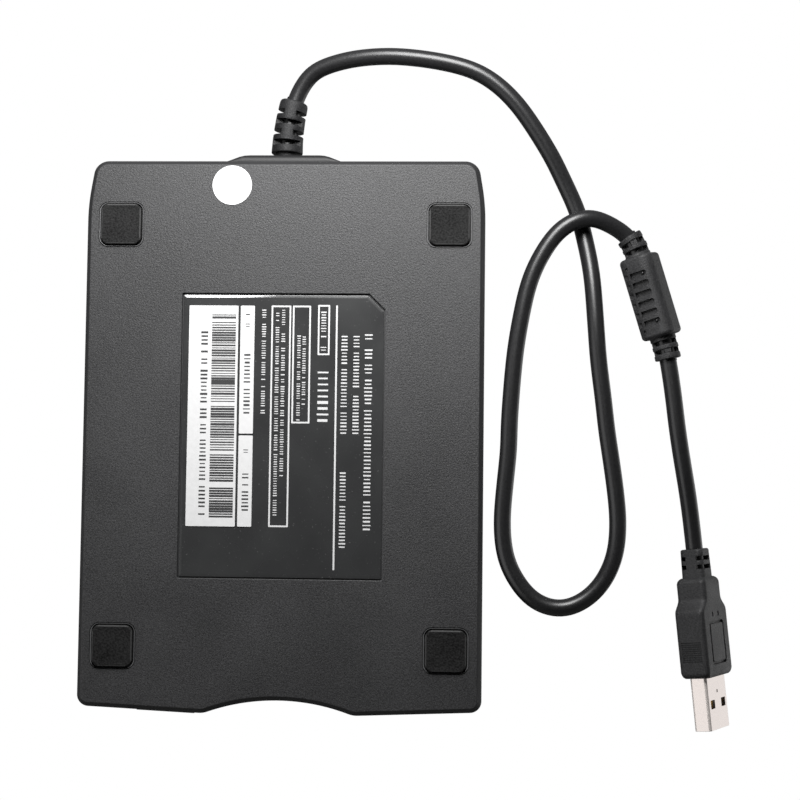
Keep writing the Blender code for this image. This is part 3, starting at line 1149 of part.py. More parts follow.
def make_stepper():
    """Stepper motor, its lead screw and the guide rods."""
    centre = (SCREW_X, 0.0, SCREW_Z)
    socket = SCREW_THREAD_RADIUS * (1 + SCREW_THREAD_SHARE) + SEAT_GAP
    back = MOTOR_Y + MOTOR_LENGTH
    chamfer = SCREW_CLEARANCE
    profile = [(MOTOR_Y + MOTOR_LENGTH / 2, SCREW_JOURNAL_RADIUS), (MOTOR_Y + MOTOR_LENGTH / 2, socket),
               (MOTOR_Y, socket),
               (MOTOR_Y, MOTOR_RADIUS - chamfer), (MOTOR_Y + chamfer, MOTOR_RADIUS),
               (back - chamfer, MOTOR_RADIUS),
               (back, MOTOR_RADIUS - chamfer)]
    smooth(piece("stepper_motor", turned(profile, centre, "Y", 24), zinc_steel, centre))
    start = BRACKET_Y + BRACKET_THICK + SEAT_GAP
    end = MOTOR_Y + MOTOR_LENGTH / 2 - SEAT_GAP
    tip = BRACKET_Y - SKIN_GAP
    rings = []
    for along in (tip, start):
        rings.append([(SCREW_X + a, along, SCREW_Z + b) for a, b in circle(SCREW_JOURNAL_RADIUS, 10)])
    throw = SCREW_THREAD_RADIUS * SCREW_THREAD_SHARE
    radius = SCREW_THREAD_RADIUS - throw
    steps = round((end - start) / SCREW_LEAD * 8)
    for i in range(steps + 1):
        along = start + (end - start) * i / steps
        turn = 2 * math.pi * (along - start) / SCREW_LEAD
        shift_x = throw * math.cos(turn)
        shift_z = throw * math.sin(turn)
        rings.append([(SCREW_X + shift_x + a, along + SKIN_GAP, SCREW_Z + shift_z + b) for a,
                      b in circle(radius, 10)])
    smooth(piece("lead_screw", loft(rings), zinc_steel, centre), 60.0)
    for name, side in (("right", 1), ("left", -1)):
        rod = turned([(ROD_START_Y, ROD_RADIUS), (ROD_END_Y, ROD_RADIUS)], (side * ROD_X, 0.0, ROD_Z), "Y",
                     12)
        smooth(piece(f"guide_rod_{name}", rod, zinc_steel, (side * ROD_X, ROD_START_Y, ROD_Z)))


# Boards, switches and lamp
BOARD_LEFT = 0.0385
BOARD_STRIP = 0.0100
BOARD_WIDE = 0.0240
BOARD_REAR_INSET = 0.0070
SWITCH_WIDTH = 0.0038
SWITCH_LENGTH = 0.0050
SWITCH_HEIGHT = 0.0021
SWITCH_PITCH = 0.0046
SWITCH_Y_SETBACK = 0.0210
PLUNGER_RADIUS = 0.0008
PLUNGER_PRESS = 0.0009
SWITCH_FLOOR = 0.00025
CHIP_SIDE = 0.0100
CHIP_SMALL = 0.0070
HEADER_WIDTH = 0.0140
HEADER_DEPTH = 0.0040
HEADER_HEIGHT = 0.0040
USB_BOARD_HALF = 0.0340
RIBBON_WIDTH = 0.0140
RIBBON_THICK = 0.0003
RIBBON_LAP = 0.0030
RIBBON_RISE = 0.0007
RIBBON_X = -0.0290
LAMP_BODY_WIDTH = 0.0030
LAMP_BODY_DEPTH = 0.0014
LAMP_BODY_HEIGHT = 0.0038

BOARD_FRONT_Y = BEZEL_BACK_Y + LAMP_HEAD_LENGTH - SEAT_GAP
BOARD_WIDE_Y = MOTOR_BOARD_REAR_Y + SEAT_GAP
BOARD_REAR_Y = CHASSIS_REAR_Y - BOARD_REAR_INSET
SWITCH_Y = FRONT_Y + SWITCH_Y_SETBACK + SWITCH_LENGTH
SWITCH_PLACES = [("media", -BOARD_LEFT + SWITCH_WIDTH / 2 + RUNNING_GAP),
                 ("protect", -BOARD_LEFT + SWITCH_WIDTH / 2 + RUNNING_GAP + SWITCH_PITCH)]


def make_boards():
    """Controller board with its chip and switches, and the interface board behind the chassis."""
    strip = -BOARD_LEFT + BOARD_STRIP
    wide = -BOARD_LEFT + BOARD_WIDE
    plan = [(-BOARD_LEFT, BOARD_FRONT_Y), (strip, BOARD_FRONT_Y), (strip, BOARD_WIDE_Y),
            (wide, BOARD_WIDE_Y),
            (wide, BOARD_REAR_Y), (-BOARD_LEFT, BOARD_REAR_Y)]
    piece("controller_board", prism(plan, BOARD_Z, BOARD_Z + BOARD_THICK), board_green)
    middle_x = (wide - BOARD_LEFT) / 2
    middle_y = (BOARD_WIDE_Y + BOARD_REAR_Y) / 2
    piece("controller_chip",
          box(middle_x - CHIP_SIDE / 2, middle_x + CHIP_SIDE / 2, middle_y - CHIP_SIDE / 2,
              middle_y + CHIP_SIDE / 2, CHIP_Z, CHIP_Z + CHIP_THICK), chip_epoxy)
    back = USB_BOARD_Y + USB_BOARD_DEPTH
    piece("interface_board",
          box(-USB_BOARD_HALF, USB_BOARD_HALF, USB_BOARD_Y, back, BOARD_Z, BOARD_Z + BOARD_THICK),
          board_green)
    centre_y = (USB_BOARD_Y + back) / 2
    chip_x = USB_BOARD_HALF / 2
    piece("interface_chip", box(chip_x - CHIP_SMALL / 2, chip_x + CHIP_SMALL / 2, centre_y - CHIP_SMALL / 2,
                                centre_y + CHIP_SMALL / 2, CHIP_Z, CHIP_Z + CHIP_THICK), chip_epoxy)
    piece("cable_header", box(-HEADER_WIDTH / 2, HEADER_WIDTH / 2, centre_y - HEADER_DEPTH / 2,
                              centre_y + HEADER_DEPTH / 2, CHIP_Z, CHIP_Z + HEADER_HEIGHT), tongue_plastic)
    low = CHIP_Z
    path = [(BOARD_REAR_Y - RIBBON_LAP, low), (BOARD_REAR_Y, low),
            (BOARD_REAR_Y + RIBBON_LAP, low + RIBBON_RISE),
            (USB_BOARD_Y - RIBBON_LAP, low + RIBBON_RISE), (USB_BOARD_Y, low),
            (USB_BOARD_Y + RIBBON_LAP, low)]
    rings = [[(RIBBON_X - RIBBON_WIDTH / 2, y, z), (RIBBON_X + RIBBON_WIDTH / 2, y, z),
              (RIBBON_X + RIBBON_WIDTH / 2, y, z + RIBBON_THICK),
              (RIBBON_X - RIBBON_WIDTH / 2, y, z + RIBBON_THICK)]
             for y, z in path]
    piece("ribbon_cable", loft(rings), ribbon_film)


def make_switches():
    """Two sensing switches on the controller board, each a body and a plunger."""
    for name, x in SWITCH_PLACES:
        body = piece(f"{name}_switch",
                     box(x - SWITCH_WIDTH / 2, x + SWITCH_WIDTH / 2, SWITCH_Y - SWITCH_LENGTH / 2,
                         SWITCH_Y + SWITCH_LENGTH / 2, CHIP_Z, CHIP_Z + SWITCH_HEIGHT), chip_epoxy)
        floor = CHIP_Z + SWITCH_FLOOR
        cut(body, turned([(floor, PLUNGER_RADIUS + RUNNING_GAP),
                          (CHIP_Z + SWITCH_HEIGHT + OVERRUN, PLUNGER_RADIUS + RUNNING_GAP)],
                         (x, SWITCH_Y, 0.0), "Z", 12))
        low = floor + RUNNING_GAP + PLUNGER_PRESS
        high = BAY_Z - HOLDER_DROP + PLUNGER_PRESS
        plunger = turned([(low, PLUNGER_RADIUS), (high, PLUNGER_RADIUS)], (x, SWITCH_Y, 0.0), "Z", 12)
        smooth(piece(f"{name}_plunger", plunger, tongue_plastic, (x, SWITCH_Y, low)))


def make_lamp():
    """Activity lamp on the controller board and the light pipe that carries it to the front."""
    low_y = BEZEL_BACK_Y + LAMP_HEAD_LENGTH / 3
    face = front_edge_y(LAMP_X, BEZEL_SET) - SKIN_GAP
    pipe = turned([(face, LAMP_RADIUS), (low_y, LAMP_RADIUS)], (-LAMP_X, 0.0, LAMP_Z), "Y", 12)
    smooth(piece("activity_light", pipe, lamp_clear, (-LAMP_X, face, LAMP_Z)))
    start = BOARD_FRONT_Y + SEAT_GAP
    piece("activity_lamp", box(-LAMP_X - LAMP_BODY_WIDTH / 2, -LAMP_X + LAMP_BODY_WIDTH / 2, start,
                               start + LAMP_BODY_DEPTH, CHIP_Z, CHIP_Z + LAMP_BODY_HEIGHT), tongue_plastic)


def make_chassis():
    """Cast floor and side walls that carry the spindle, the rods, the motor and the holder's pins."""
    profile = [(-CHASSIS_HALF, CHASSIS_Z), (CHASSIS_HALF, CHASSIS_Z), (CHASSIS_HALF, SHIELD_Z - SEAT_GAP),
               (CHASSIS_IN, SHIELD_Z - SEAT_GAP), (CHASSIS_IN, CHASSIS_TOP_Z), (-CHASSIS_IN, CHASSIS_TOP_Z),
               (-CHASSIS_IN, SHIELD_Z - SEAT_GAP), (-CHASSIS_HALF, SHIELD_Z - SEAT_GAP)]
    body = loft([[(x, y, z) for x, z in profile] for y in (CHASSIS_FRONT_Y, CHASSIS_REAR_Y)])
    chassis = piece("drive_chassis", body, cast_aluminium)
    slot_front = SPINDLE_Y + ROTOR_RADIUS - OVERRUN
    slot_rear = CARRIAGE_REAR_Y + SADDLE_GAP
    way_front = BRACKET_Y + BRACKET_THICK + SEAT_GAP
    way_side = SCREW_X + FOLLOWER_RING + SEAT_GAP
    plan = [(-SLOT_HALF_WIDTH, slot_front), (SLOT_HALF_WIDTH, slot_front), (SLOT_HALF_WIDTH, way_front),
            (way_side, way_front), (way_side, MOTOR_Y), (SLOT_HALF_WIDTH, MOTOR_Y),
            (SLOT_HALF_WIDTH, slot_rear),
            (-SLOT_HALF_WIDTH, slot_rear)]
    cut(chassis, prism(plan, CHASSIS_Z - OVERRUN, CHASSIS_TOP_Z + OVERRUN))
    hole = turned([(CHASSIS_Z - OVERRUN, ROTOR_RADIUS + OVERRUN),
                   (CHASSIS_TOP_Z + OVERRUN, ROTOR_RADIUS + OVERRUN)],
                  (0.0, SPINDLE_Y, 0.0), "Z", 32)
    motor = box(SCREW_X - MOTOR_RADIUS - SEAT_GAP, SCREW_X + MOTOR_RADIUS + SEAT_GAP, MOTOR_Y - SEAT_GAP,
                CHASSIS_REAR_Y - SEAT_GAP, CHASSIS_Z - OVERRUN, CHASSIS_TOP_Z + OVERRUN)
    first = SWITCH_PLACES[0][1] - SWITCH_WIDTH / 2 - SEAT_GAP
    last = SWITCH_PLACES[-1][1] + SWITCH_WIDTH / 2 + SEAT_GAP
    switches = box(first, last, SWITCH_Y - SWITCH_LENGTH / 2 - SEAT_GAP,
                   SWITCH_Y + SWITCH_LENGTH / 2 + SEAT_GAP,
                   CHASSIS_Z - OVERRUN, CHASSIS_TOP_Z + OVERRUN)
    screws = []
    for _, side, end in FOOT_PLACES:
        x, y = foot_centre(side, end)
        screws.append(turned([(CHASSIS_Z - OVERRUN, SCREW_RADIUS + SEAT_GAP),
                              (CHASSIS_TOP_Z + OVERRUN, SCREW_RADIUS + SEAT_GAP)],
                             (x, y, 0.0), "Z", 12))
    pin_slots = []
    legs = []
    for side in (-1, 1):
        edges = sorted((side * (CHASSIS_IN - SIDE_GAP / 2), side * (CHASSIS_HALF + OVERRUN)))
        for y in PIN_PLACES_Y:
            half = PIN_RADIUS + SEAT_GAP
            pin_slots.append(box(*edges, y - half, y + half, PIN_Z - HOLDER_DROP - half,
                                 SHIELD_Z + OVERRUN))
        inner = sorted((side * (FLANGE_IN - SEAT_GAP), side * (FLANGE_OUT + SEAT_GAP)))
        legs.append(box(*inner, SPINDLE_Y - SPRING_LEG / 2 - BUTTON_TRAVEL - SEAT_GAP,
                        SPINDLE_Y + SPRING_LEG / 2 + SEAT_GAP,
                        CHASSIS_Z - OVERRUN, CHASSIS_TOP_Z + OVERRUN))
    cut(chassis, hole, motor, switches, *screws, *pin_slots, *legs)
    saddles = []
    front_saddle = CARRIAGE_REAR_Y - LONG_BUSH - HEAD_TRAVEL - SADDLE_GAP
    for side in (-1, 1):
        inner = side * (ROD_X - SADDLE_HALF)
        front_x = sorted((inner, side * (SLOT_HALF_WIDTH + SLOT_SIDE_GAP)))
        rear_x = sorted((inner, side * (ROD_X + SADDLE_HALF)))
        saddles.append(box(*front_x, front_saddle - SADDLE_THICK, front_saddle, CARRIAGE_Z,
                           CHASSIS_TOP_Z - SKIN_GAP))
        saddles.append(box(*rear_x, slot_rear + SADDLE_GAP, slot_rear + SADDLE_GAP + SADDLE_THICK,
                           CARRIAGE_Z,
                           CHASSIS_TOP_Z - SKIN_GAP))
    wall = FOLLOWER_WALL + SCREW_JOURNAL_RADIUS + RUNNING_GAP
    bracket = box(SCREW_X - wall, SCREW_X + wall, BRACKET_Y, BRACKET_Y + BRACKET_THICK,
                  CHASSIS_Z + SKIN_GAP, SCREW_Z + wall)
    start, _, across = spring_places()
    hooks = []
    for side in (-1, 1):
        edges = sorted((side * (across - SPRING_RADIUS), side * (across + HOOK_REACH)))
        hooks.append(box(*edges, start - SEAT_GAP - HOOK_THICK, start - SEAT_GAP, SPRING_LEG_Z,
                         CHASSIS_TOP_Z - SKIN_GAP))
    join(chassis, *saddles, bracket, *hooks)
    bores = [turned([(front_saddle - SADDLE_THICK - OVERRUN, ROD_RADIUS + ROD_GAP),
                     (ROD_END_Y + SEAT_GAP, ROD_RADIUS + ROD_GAP)],
                    (side * ROD_X, 0.0, ROD_Z), "Y", 12) for side in (-1, 1)]
    journal = turned([(BRACKET_Y - OVERRUN, SCREW_JOURNAL_RADIUS + RUNNING_GAP),
                      (BRACKET_Y + BRACKET_THICK + OVERRUN, SCREW_JOURNAL_RADIUS + RUNNING_GAP)],
                     (SCREW_X, 0.0, SCREW_Z), "Y", 12)
    cut(chassis, *bores, journal)
    return chassis


def make_shield():
    """Thin steel cover over the front of the drive, resting on the chassis walls."""
    front = HOLDER_FRONT_Y + OVERRUN
    piece("upper_shield", box(-CHASSIS_HALF, CHASSIS_HALF, front, WEB_REAR_Y, SHIELD_Z, SHIELD_TOP_Z),
          zinc_steel)

# Strain relief, from the case outwards
RELIEF_LENGTH = 0.0151
RELIEF_LEAN = 0.0018
RELIEF_FLANGE_RADIUS = 0.0046
RELIEF_FLANGE_THICK = 0.0012
RELIEF_ROOT_RADIUS = 0.00415
RELIEF_TIP_RADIUS = 0.00375
RELIEF_CORE_HALF = 0.0022
RELIEF_STRIP_HALF = 0.0015
RELIEF_BRIDGE_HALF = 0.0029
RELIEF_NECK_SHARE = 0.075
RELIEF_WINDOW_SHARES = ((0.215, 0.300), (0.575, 0.655))
RELIEF_NOTCH_SHARES = ((0.385, 0.475), (0.740, 0.825))
RELIEF_TIP_ROUND_SHARE = 0.97

# The lead itself: its route is a list of places in millimetres, chosen by hand
MM = 0.001
CORD_RADIUS = 0.0022
CORD_STEP = 0.0088
CORD_STRAIGHT = 0.0030
CORD_TO_BEAD = [
    (-5.14, 96.02, 8.60), (-10.55, 98.37, 7.20), (-18.64, 99.64, 5.20),
    (-29.30, 99.50, 3.40), (-42.43, 97.35, 2.45), (-55.48, 91.59, 2.40), (-67.54, 74.68, 3.50),
                (-73.12, 67.61, 5.70),
    (-76.00, 59.40, 7.60), (-77.74, 52.81, 7.20), (-79.54, 42.32, 4.00), (-80.49, 29.77, 2.35),
                (-81.24, 19.93, 2.25),
    (-82.50, 10.10, 2.25), (-83.39, 2.09, 2.25), (-84.38, -4.37, 2.25), (-85.73, -13.99, 2.25),
                (-86.34, -22.01, 2.25),
    (-85.53, -30.04, 2.25), (-82.35, -36.99, 2.25), (-77.58, -41.59, 2.25), (-71.75, -43.65, 2.25),
    (-65.32, -41.77, 2.25), (-60.74, -36.77, 2.25), (-57.77, -30.41, 2.25), (-56.88, -21.31, 2.25),
    (-57.86, -8.91, 2.25), (-58.41, -3.28, 2.25), (-58.60, 4.99, 2.25), (-59.70, 19.77, 2.25),
                (-61.12, 29.65, 2.25),
    (-63.26, 39.58, 2.25), (-66.18, 46.55, 2.25), (-70.56, 53.02, 2.25), (-75.46, 56.32, 2.30),
                (-79.94, 56.87, 3.00),
    (-84.20, 56.45, 4.80)]
CORD_TO_PLUG = [
    (-100.65, 12.00, 5.70), (-101.79, 2.38, 5.60), (-103.16, -6.07, 6.20), (-104.40, -12.69, 7.20),
    (-105.55, -19.68, 8.60)]

# Moulded ferrite bead on the lead
BEAD_CENTRE = (-0.09476, 0.03716, 0.0060)
BEAD_HEADING_DEG = -106.7
BEAD_ROLL_DEG = 48.0
BEAD_LENGTH = 0.0208
BEAD_SIDE = 0.0092
BEAD_CORNER = 0.0015
BEAD_END_ROUND = 0.0006
BEAD_BOOT_LENGTH = 0.0058
BEAD_BOOT_RADIUS = 0.00335
BEAD_BOOT_CORE = 0.0025
BEAD_TOP_LEAN = 0.0009
BEAD_LOW_LEAN = 0.00023
BEAD_RING_SHARES = (0.17, 0.36, 0.55, 0.76)
RUNG_COUNT = 6
RUNG_PITCH = 0.0025
RUNG_WIDTH = 0.0014
RUNG_DEPTH = 0.0005
RUNG_END_SHARE = 0.62

# Plug at the far end
PLUG_TIP = (-0.11106, -0.07371, 0.0080)
PLUG_HEADING_DEG = -95.59
PLUG_PITCH_DEG = 1.69
PLUG_ROLL_DEG = 32.0
SHELL_WIDTH = 0.0120
SHELL_THICK = 0.0045
SHELL_WALL = 0.0003
SHELL_CORNER = 0.0005
SHELL_OUT = 0.0133
SHELL_IN = 0.0030
SHELL_HOLE_WIDTH = 0.0025
SHELL_HOLE_LENGTH = 0.0022
SHELL_HOLE_SETBACK = 0.0064
SHELL_HOLE_SPREAD = 0.0032
TONGUE_THICK = 0.0018
TONGUE_INSET = 0.0012
TONGUE_BLOCK = 0.0040
MOULD_LENGTH = 0.0252
MOULD_WIDTH = 0.0156
MOULD_THICK = 0.0080
MOULD_NECK_WIDTH = 0.0103
MOULD_CORNER = 0.0013
MOULD_NECK_SHARES = (0.015, 0.045, 0.200, 0.235)
MOULD_FLARE_SHARES = (0.310, 0.350)
MOULD_TIP_SHARES = (0.935, 0.975)
PLUG_BOOT_LENGTH = 0.0073
PLUG_BOOT_TIP = 0.0061
PLUG_BOOT_ROOT = 0.0064
PLUG_BOOT_CORNER = 0.0014
BOOT_SLOT_SHARES = ((0.26, 0.39), (0.55, 0.68))
BOOT_SLOT_HALF = 0.0021
BOOT_SLOT_DEPTH = 0.0010
GRIP_COUNT = 10
GRIP_PITCH = 0.00053
GRIP_GROOVE = 0.00027
GRIP_DEPTH = 0.0002
GRIP_SHARE = 0.735
FRAME_LENGTH = 0.0136
FRAME_WIDTH = 0.0096
FRAME_LINE = 0.0005
FRAME_DEPTH = 0.0002
FRAME_SHARE = 0.66


def boot_place(base, direction, length, lean, share):
    """Centre and sideways direction of a bent boot along local X, at a share of its length."""
    slope = 2 * lean * share / length
    size = math.hypot(1, slope)
    centre = (base + direction * length * share, lean * share * share)
    return centre, (-slope * direction / size, 1 / size)


def boot_rings(base, direction, length, lean, stations, sides):
    """Rings of a bent round boot through (share, radius) stations."""
    rings = []
    for share, radius in stations:
        (along, across), (side_x, side_y) = boot_place(base, direction, length, lean, share)
        rings.append([(along + side_x * a, across + side_y * a, b) for a, b in circle(radius, sides)])
    return rings


def boot_block(base, direction, length, lean, shares, low, high, z_low, z_high):
    """Cutter between two shares of a bent boot's length and between limits across it."""
    rings = []
    for share in shares:
        (along, across), (side_x, side_y) = boot_place(base, direction, length, lean, share)
        rings.append([(along + side_x * a, across + side_y * a, z)
                      for a, z in ((low, z_low), (high, z_low), (high, z_high), (low, z_high))])
    return loft(rings)


def local_frame(name, place, heading_deg, pitch_deg=0.0, roll_deg=0.0):
    """Make a frame whose X axis runs along a piece of the lead."""
    frame = bpy.data.objects.new(name, None)
    frame.parent = case_frame
    frame.location = place
    frame.rotation_euler = [math.radians(angle) for angle in (roll_deg, pitch_deg, heading_deg)]
    bpy.context.scene.collection.objects.link(frame)
    return frame


def cord_exit(frame, tip, heading, roll_deg=0.0):
    """Two places beyond the tip of a boot, straight out of it, where the lead meets it."""
    turn = frame.matrix_basis @ Matrix.Rotation(-math.radians(roll_deg), 4, "X")
    ahead = Vector(heading).normalized()
    return [turn @ (Vector(tip) + ahead * out) for out in (SEAT_GAP, SEAT_GAP + CORD_STRAIGHT)]


def make_strain_relief():
    """Ribbed sleeve that is held by its flange behind the rear wall."""
    frame = local_frame("strain_relief_frame", (CORD_X, REAR_Y + BOSS_PROUD, CORD_Z), 90.0)
    seat = -(CASE_WALL + BOSS_PROUD + SEAT_GAP)
    rings = []
    for along, radius in ((seat - RELIEF_FLANGE_THICK, RELIEF_FLANGE_RADIUS), (seat, RELIEF_FLANGE_RADIUS),
                          (seat, RELIEF_NECK_RADIUS)):
        rings.append([(along, a, b) for a, b in circle(radius, 20)])
    shape = (0.0, 1, RELIEF_LENGTH, RELIEF_LEAN)
    fall = RELIEF_ROOT_RADIUS - RELIEF_TIP_RADIUS
    stations = [(0.0, RELIEF_NECK_RADIUS), (RELIEF_NECK_SHARE, RELIEF_NECK_RADIUS),
                (RELIEF_NECK_SHARE, RELIEF_ROOT_RADIUS)]
    for share in (0.3, 0.5, 0.7, RELIEF_TIP_ROUND_SHARE):
        stations.append((share, RELIEF_ROOT_RADIUS - fall * share))
    stations.append((1.0, RELIEF_TIP_RADIUS - fall))
    relief = piece("strain_relief", loft(rings + boot_rings(*shape, stations, 20)), plug_pvc, parent=frame)
    reach = RELIEF_ROOT_RADIUS + OVERRUN
    cutters = []
    for shares in RELIEF_WINDOW_SHARES:
        cutters.append(boot_block(*shape, shares, -RELIEF_BRIDGE_HALF, RELIEF_BRIDGE_HALF, RELIEF_CORE_HALF,
                                  reach))
        cutters.append(boot_block(*shape, shares, -RELIEF_BRIDGE_HALF, RELIEF_BRIDGE_HALF, -reach,
                                  -RELIEF_CORE_HALF))
    for shares in RELIEF_NOTCH_SHARES:
        cutters.append(boot_block(*shape, shares, RELIEF_STRIP_HALF, reach, -reach, reach))
        cutters.append(boot_block(*shape, shares, -reach, -RELIEF_STRIP_HALF, -reach, reach))
    cut(relief, *cutters)
    return cord_exit(frame, (RELIEF_LENGTH, RELIEF_LEAN, 0.0), (RELIEF_LENGTH, 2 * RELIEF_LEAN, 0.0))


def smooth_route(places, step):
    """Points at even steps on a smooth curve through the places of a route, with its ends straight."""
    dense = []
    for i in range(1, len(places) - 2):
        before, start, end, after = places[i - 1:i + 3]
        for k in range(16):
            t = k / 16
            dense.append((start * 2 + (end - before) * t + (before * 2 - start * 5 + end * 4 - after) * t * t
                          + (start * 3 - before - end * 3 + after) * t * t * t) / 2)
    dense.append(places[-2])
    lengths = [0.0]
    for one, two in zip(dense, dense[1:]):
        lengths.append(lengths[-1] + (two - one).length)
    count = round(lengths[-1] / step)
    route = [places[0]]
    for i in range(count + 1):
        wanted = lengths[-1] * i / count
        k = next((k for k in range(1, len(lengths) - 1) if lengths[k] >= wanted), len(lengths) - 1)
        share = (wanted - lengths[k - 1]) / (lengths[k] - lengths[k - 1])
        route.append(dense[k - 1].lerp(dense[k], share))
    return route + [places[-1]]


def make_cord(name, start, points, end):
    """A free stretch of the lead, as a round tube that meets a boot at each end."""
    curve = bpy.data.curves.new(name, 'CURVE')
    curve.dimensions = '3D'
    curve.bevel_depth = CORD_RADIUS
    curve.bevel_resolution = 3
    curve.use_fill_caps = True
    route = smooth_route(start + [Vector(point) * MM for point in points] + end[::-1], CORD_STEP)
    spline = curve.splines.new('POLY')
    spline.points.add(len(route) - 1)
    for knot, place in zip(spline.points, route):
        knot.co = (*place, 1.0)
    item = bpy.data.objects.new(name, curve)
    item.parent = case_frame
    bpy.context.scene.collection.objects.link(item)
    curve.materials.append(cord_pvc)


def rounded_section(along, width, thick, corner):
    """Ring of a rounded rectangle across local X, wide along Z."""
    return [(along, y, z) for y, z in rounded_rectangle(0.0, 0.0, thick, width, corner)]


def make_bead():
    """Ferrite bead in its moulding, with a ribbed boot at each end and a ladder of rungs on one face."""
    frame = local_frame("ferrite_bead_frame", BEAD_CENTRE, BEAD_HEADING_DEG, 0.0, BEAD_ROLL_DEG)
    half = BEAD_LENGTH / 2
    small = BEAD_SIDE - 2 * BEAD_END_ROUND
    sections = [(-half, small), (BEAD_END_ROUND - half, BEAD_SIDE), (half - BEAD_END_ROUND, BEAD_SIDE),
                (half, small)]
    rings = [rounded_section(along, side, side, BEAD_CORNER) for along, side in sections]
    bead = piece("ferrite_bead", loft(rings), plug_pvc, parent=frame)
    boots = []
    for direction, lean in ((-1, BEAD_TOP_LEAN), (1, BEAD_LOW_LEAN)):
        stations = [(-BEAD_RING_SHARES[0], BEAD_BOOT_RADIUS)]
        for i, share in enumerate(BEAD_RING_SHARES):
            first, second = (BEAD_BOOT_RADIUS, BEAD_BOOT_CORE) if i % 2 == 0 else (BEAD_BOOT_CORE,
                                                                                   BEAD_BOOT_RADIUS)
            stations += [(share, first), (share, second)]
        stations.append((1.0, BEAD_BOOT_RADIUS))
        boot = loft(boot_rings(direction * half, direction, BEAD_BOOT_LENGTH, lean, stations, 16))
        bmesh.ops.rotate(boot, verts=boot.verts,
                         matrix=Matrix.Rotation(-math.radians(BEAD_ROLL_DEG), 3, "X"))
        boots.append(boot)
    join(bead, *boots)
    face = -BEAD_SIDE / 2
    rungs = []
    for i in range(RUNG_COUNT):
        middle = (i - (RUNG_COUNT - 1) / 2) * RUNG_PITCH
        rungs.append(box(middle - RUNG_WIDTH / 2, middle + RUNG_WIDTH / 2, -BEAD_SIDE / 2 * RUNG_END_SHARE,
                         BEAD_SIDE / 2 + OVERRUN, face - OVERRUN, face + RUNG_DEPTH))
    cut(bead, *rungs)
    exits = []
    for direction, lean in ((-1, BEAD_TOP_LEAN), (1, BEAD_LOW_LEAN)):
        tip = (direction * (half + BEAD_BOOT_LENGTH), lean, 0.0)
        exits.append(cord_exit(frame, tip, (direction * BEAD_BOOT_LENGTH, 2 * lean, 0.0), BEAD_ROLL_DEG))
    return exits


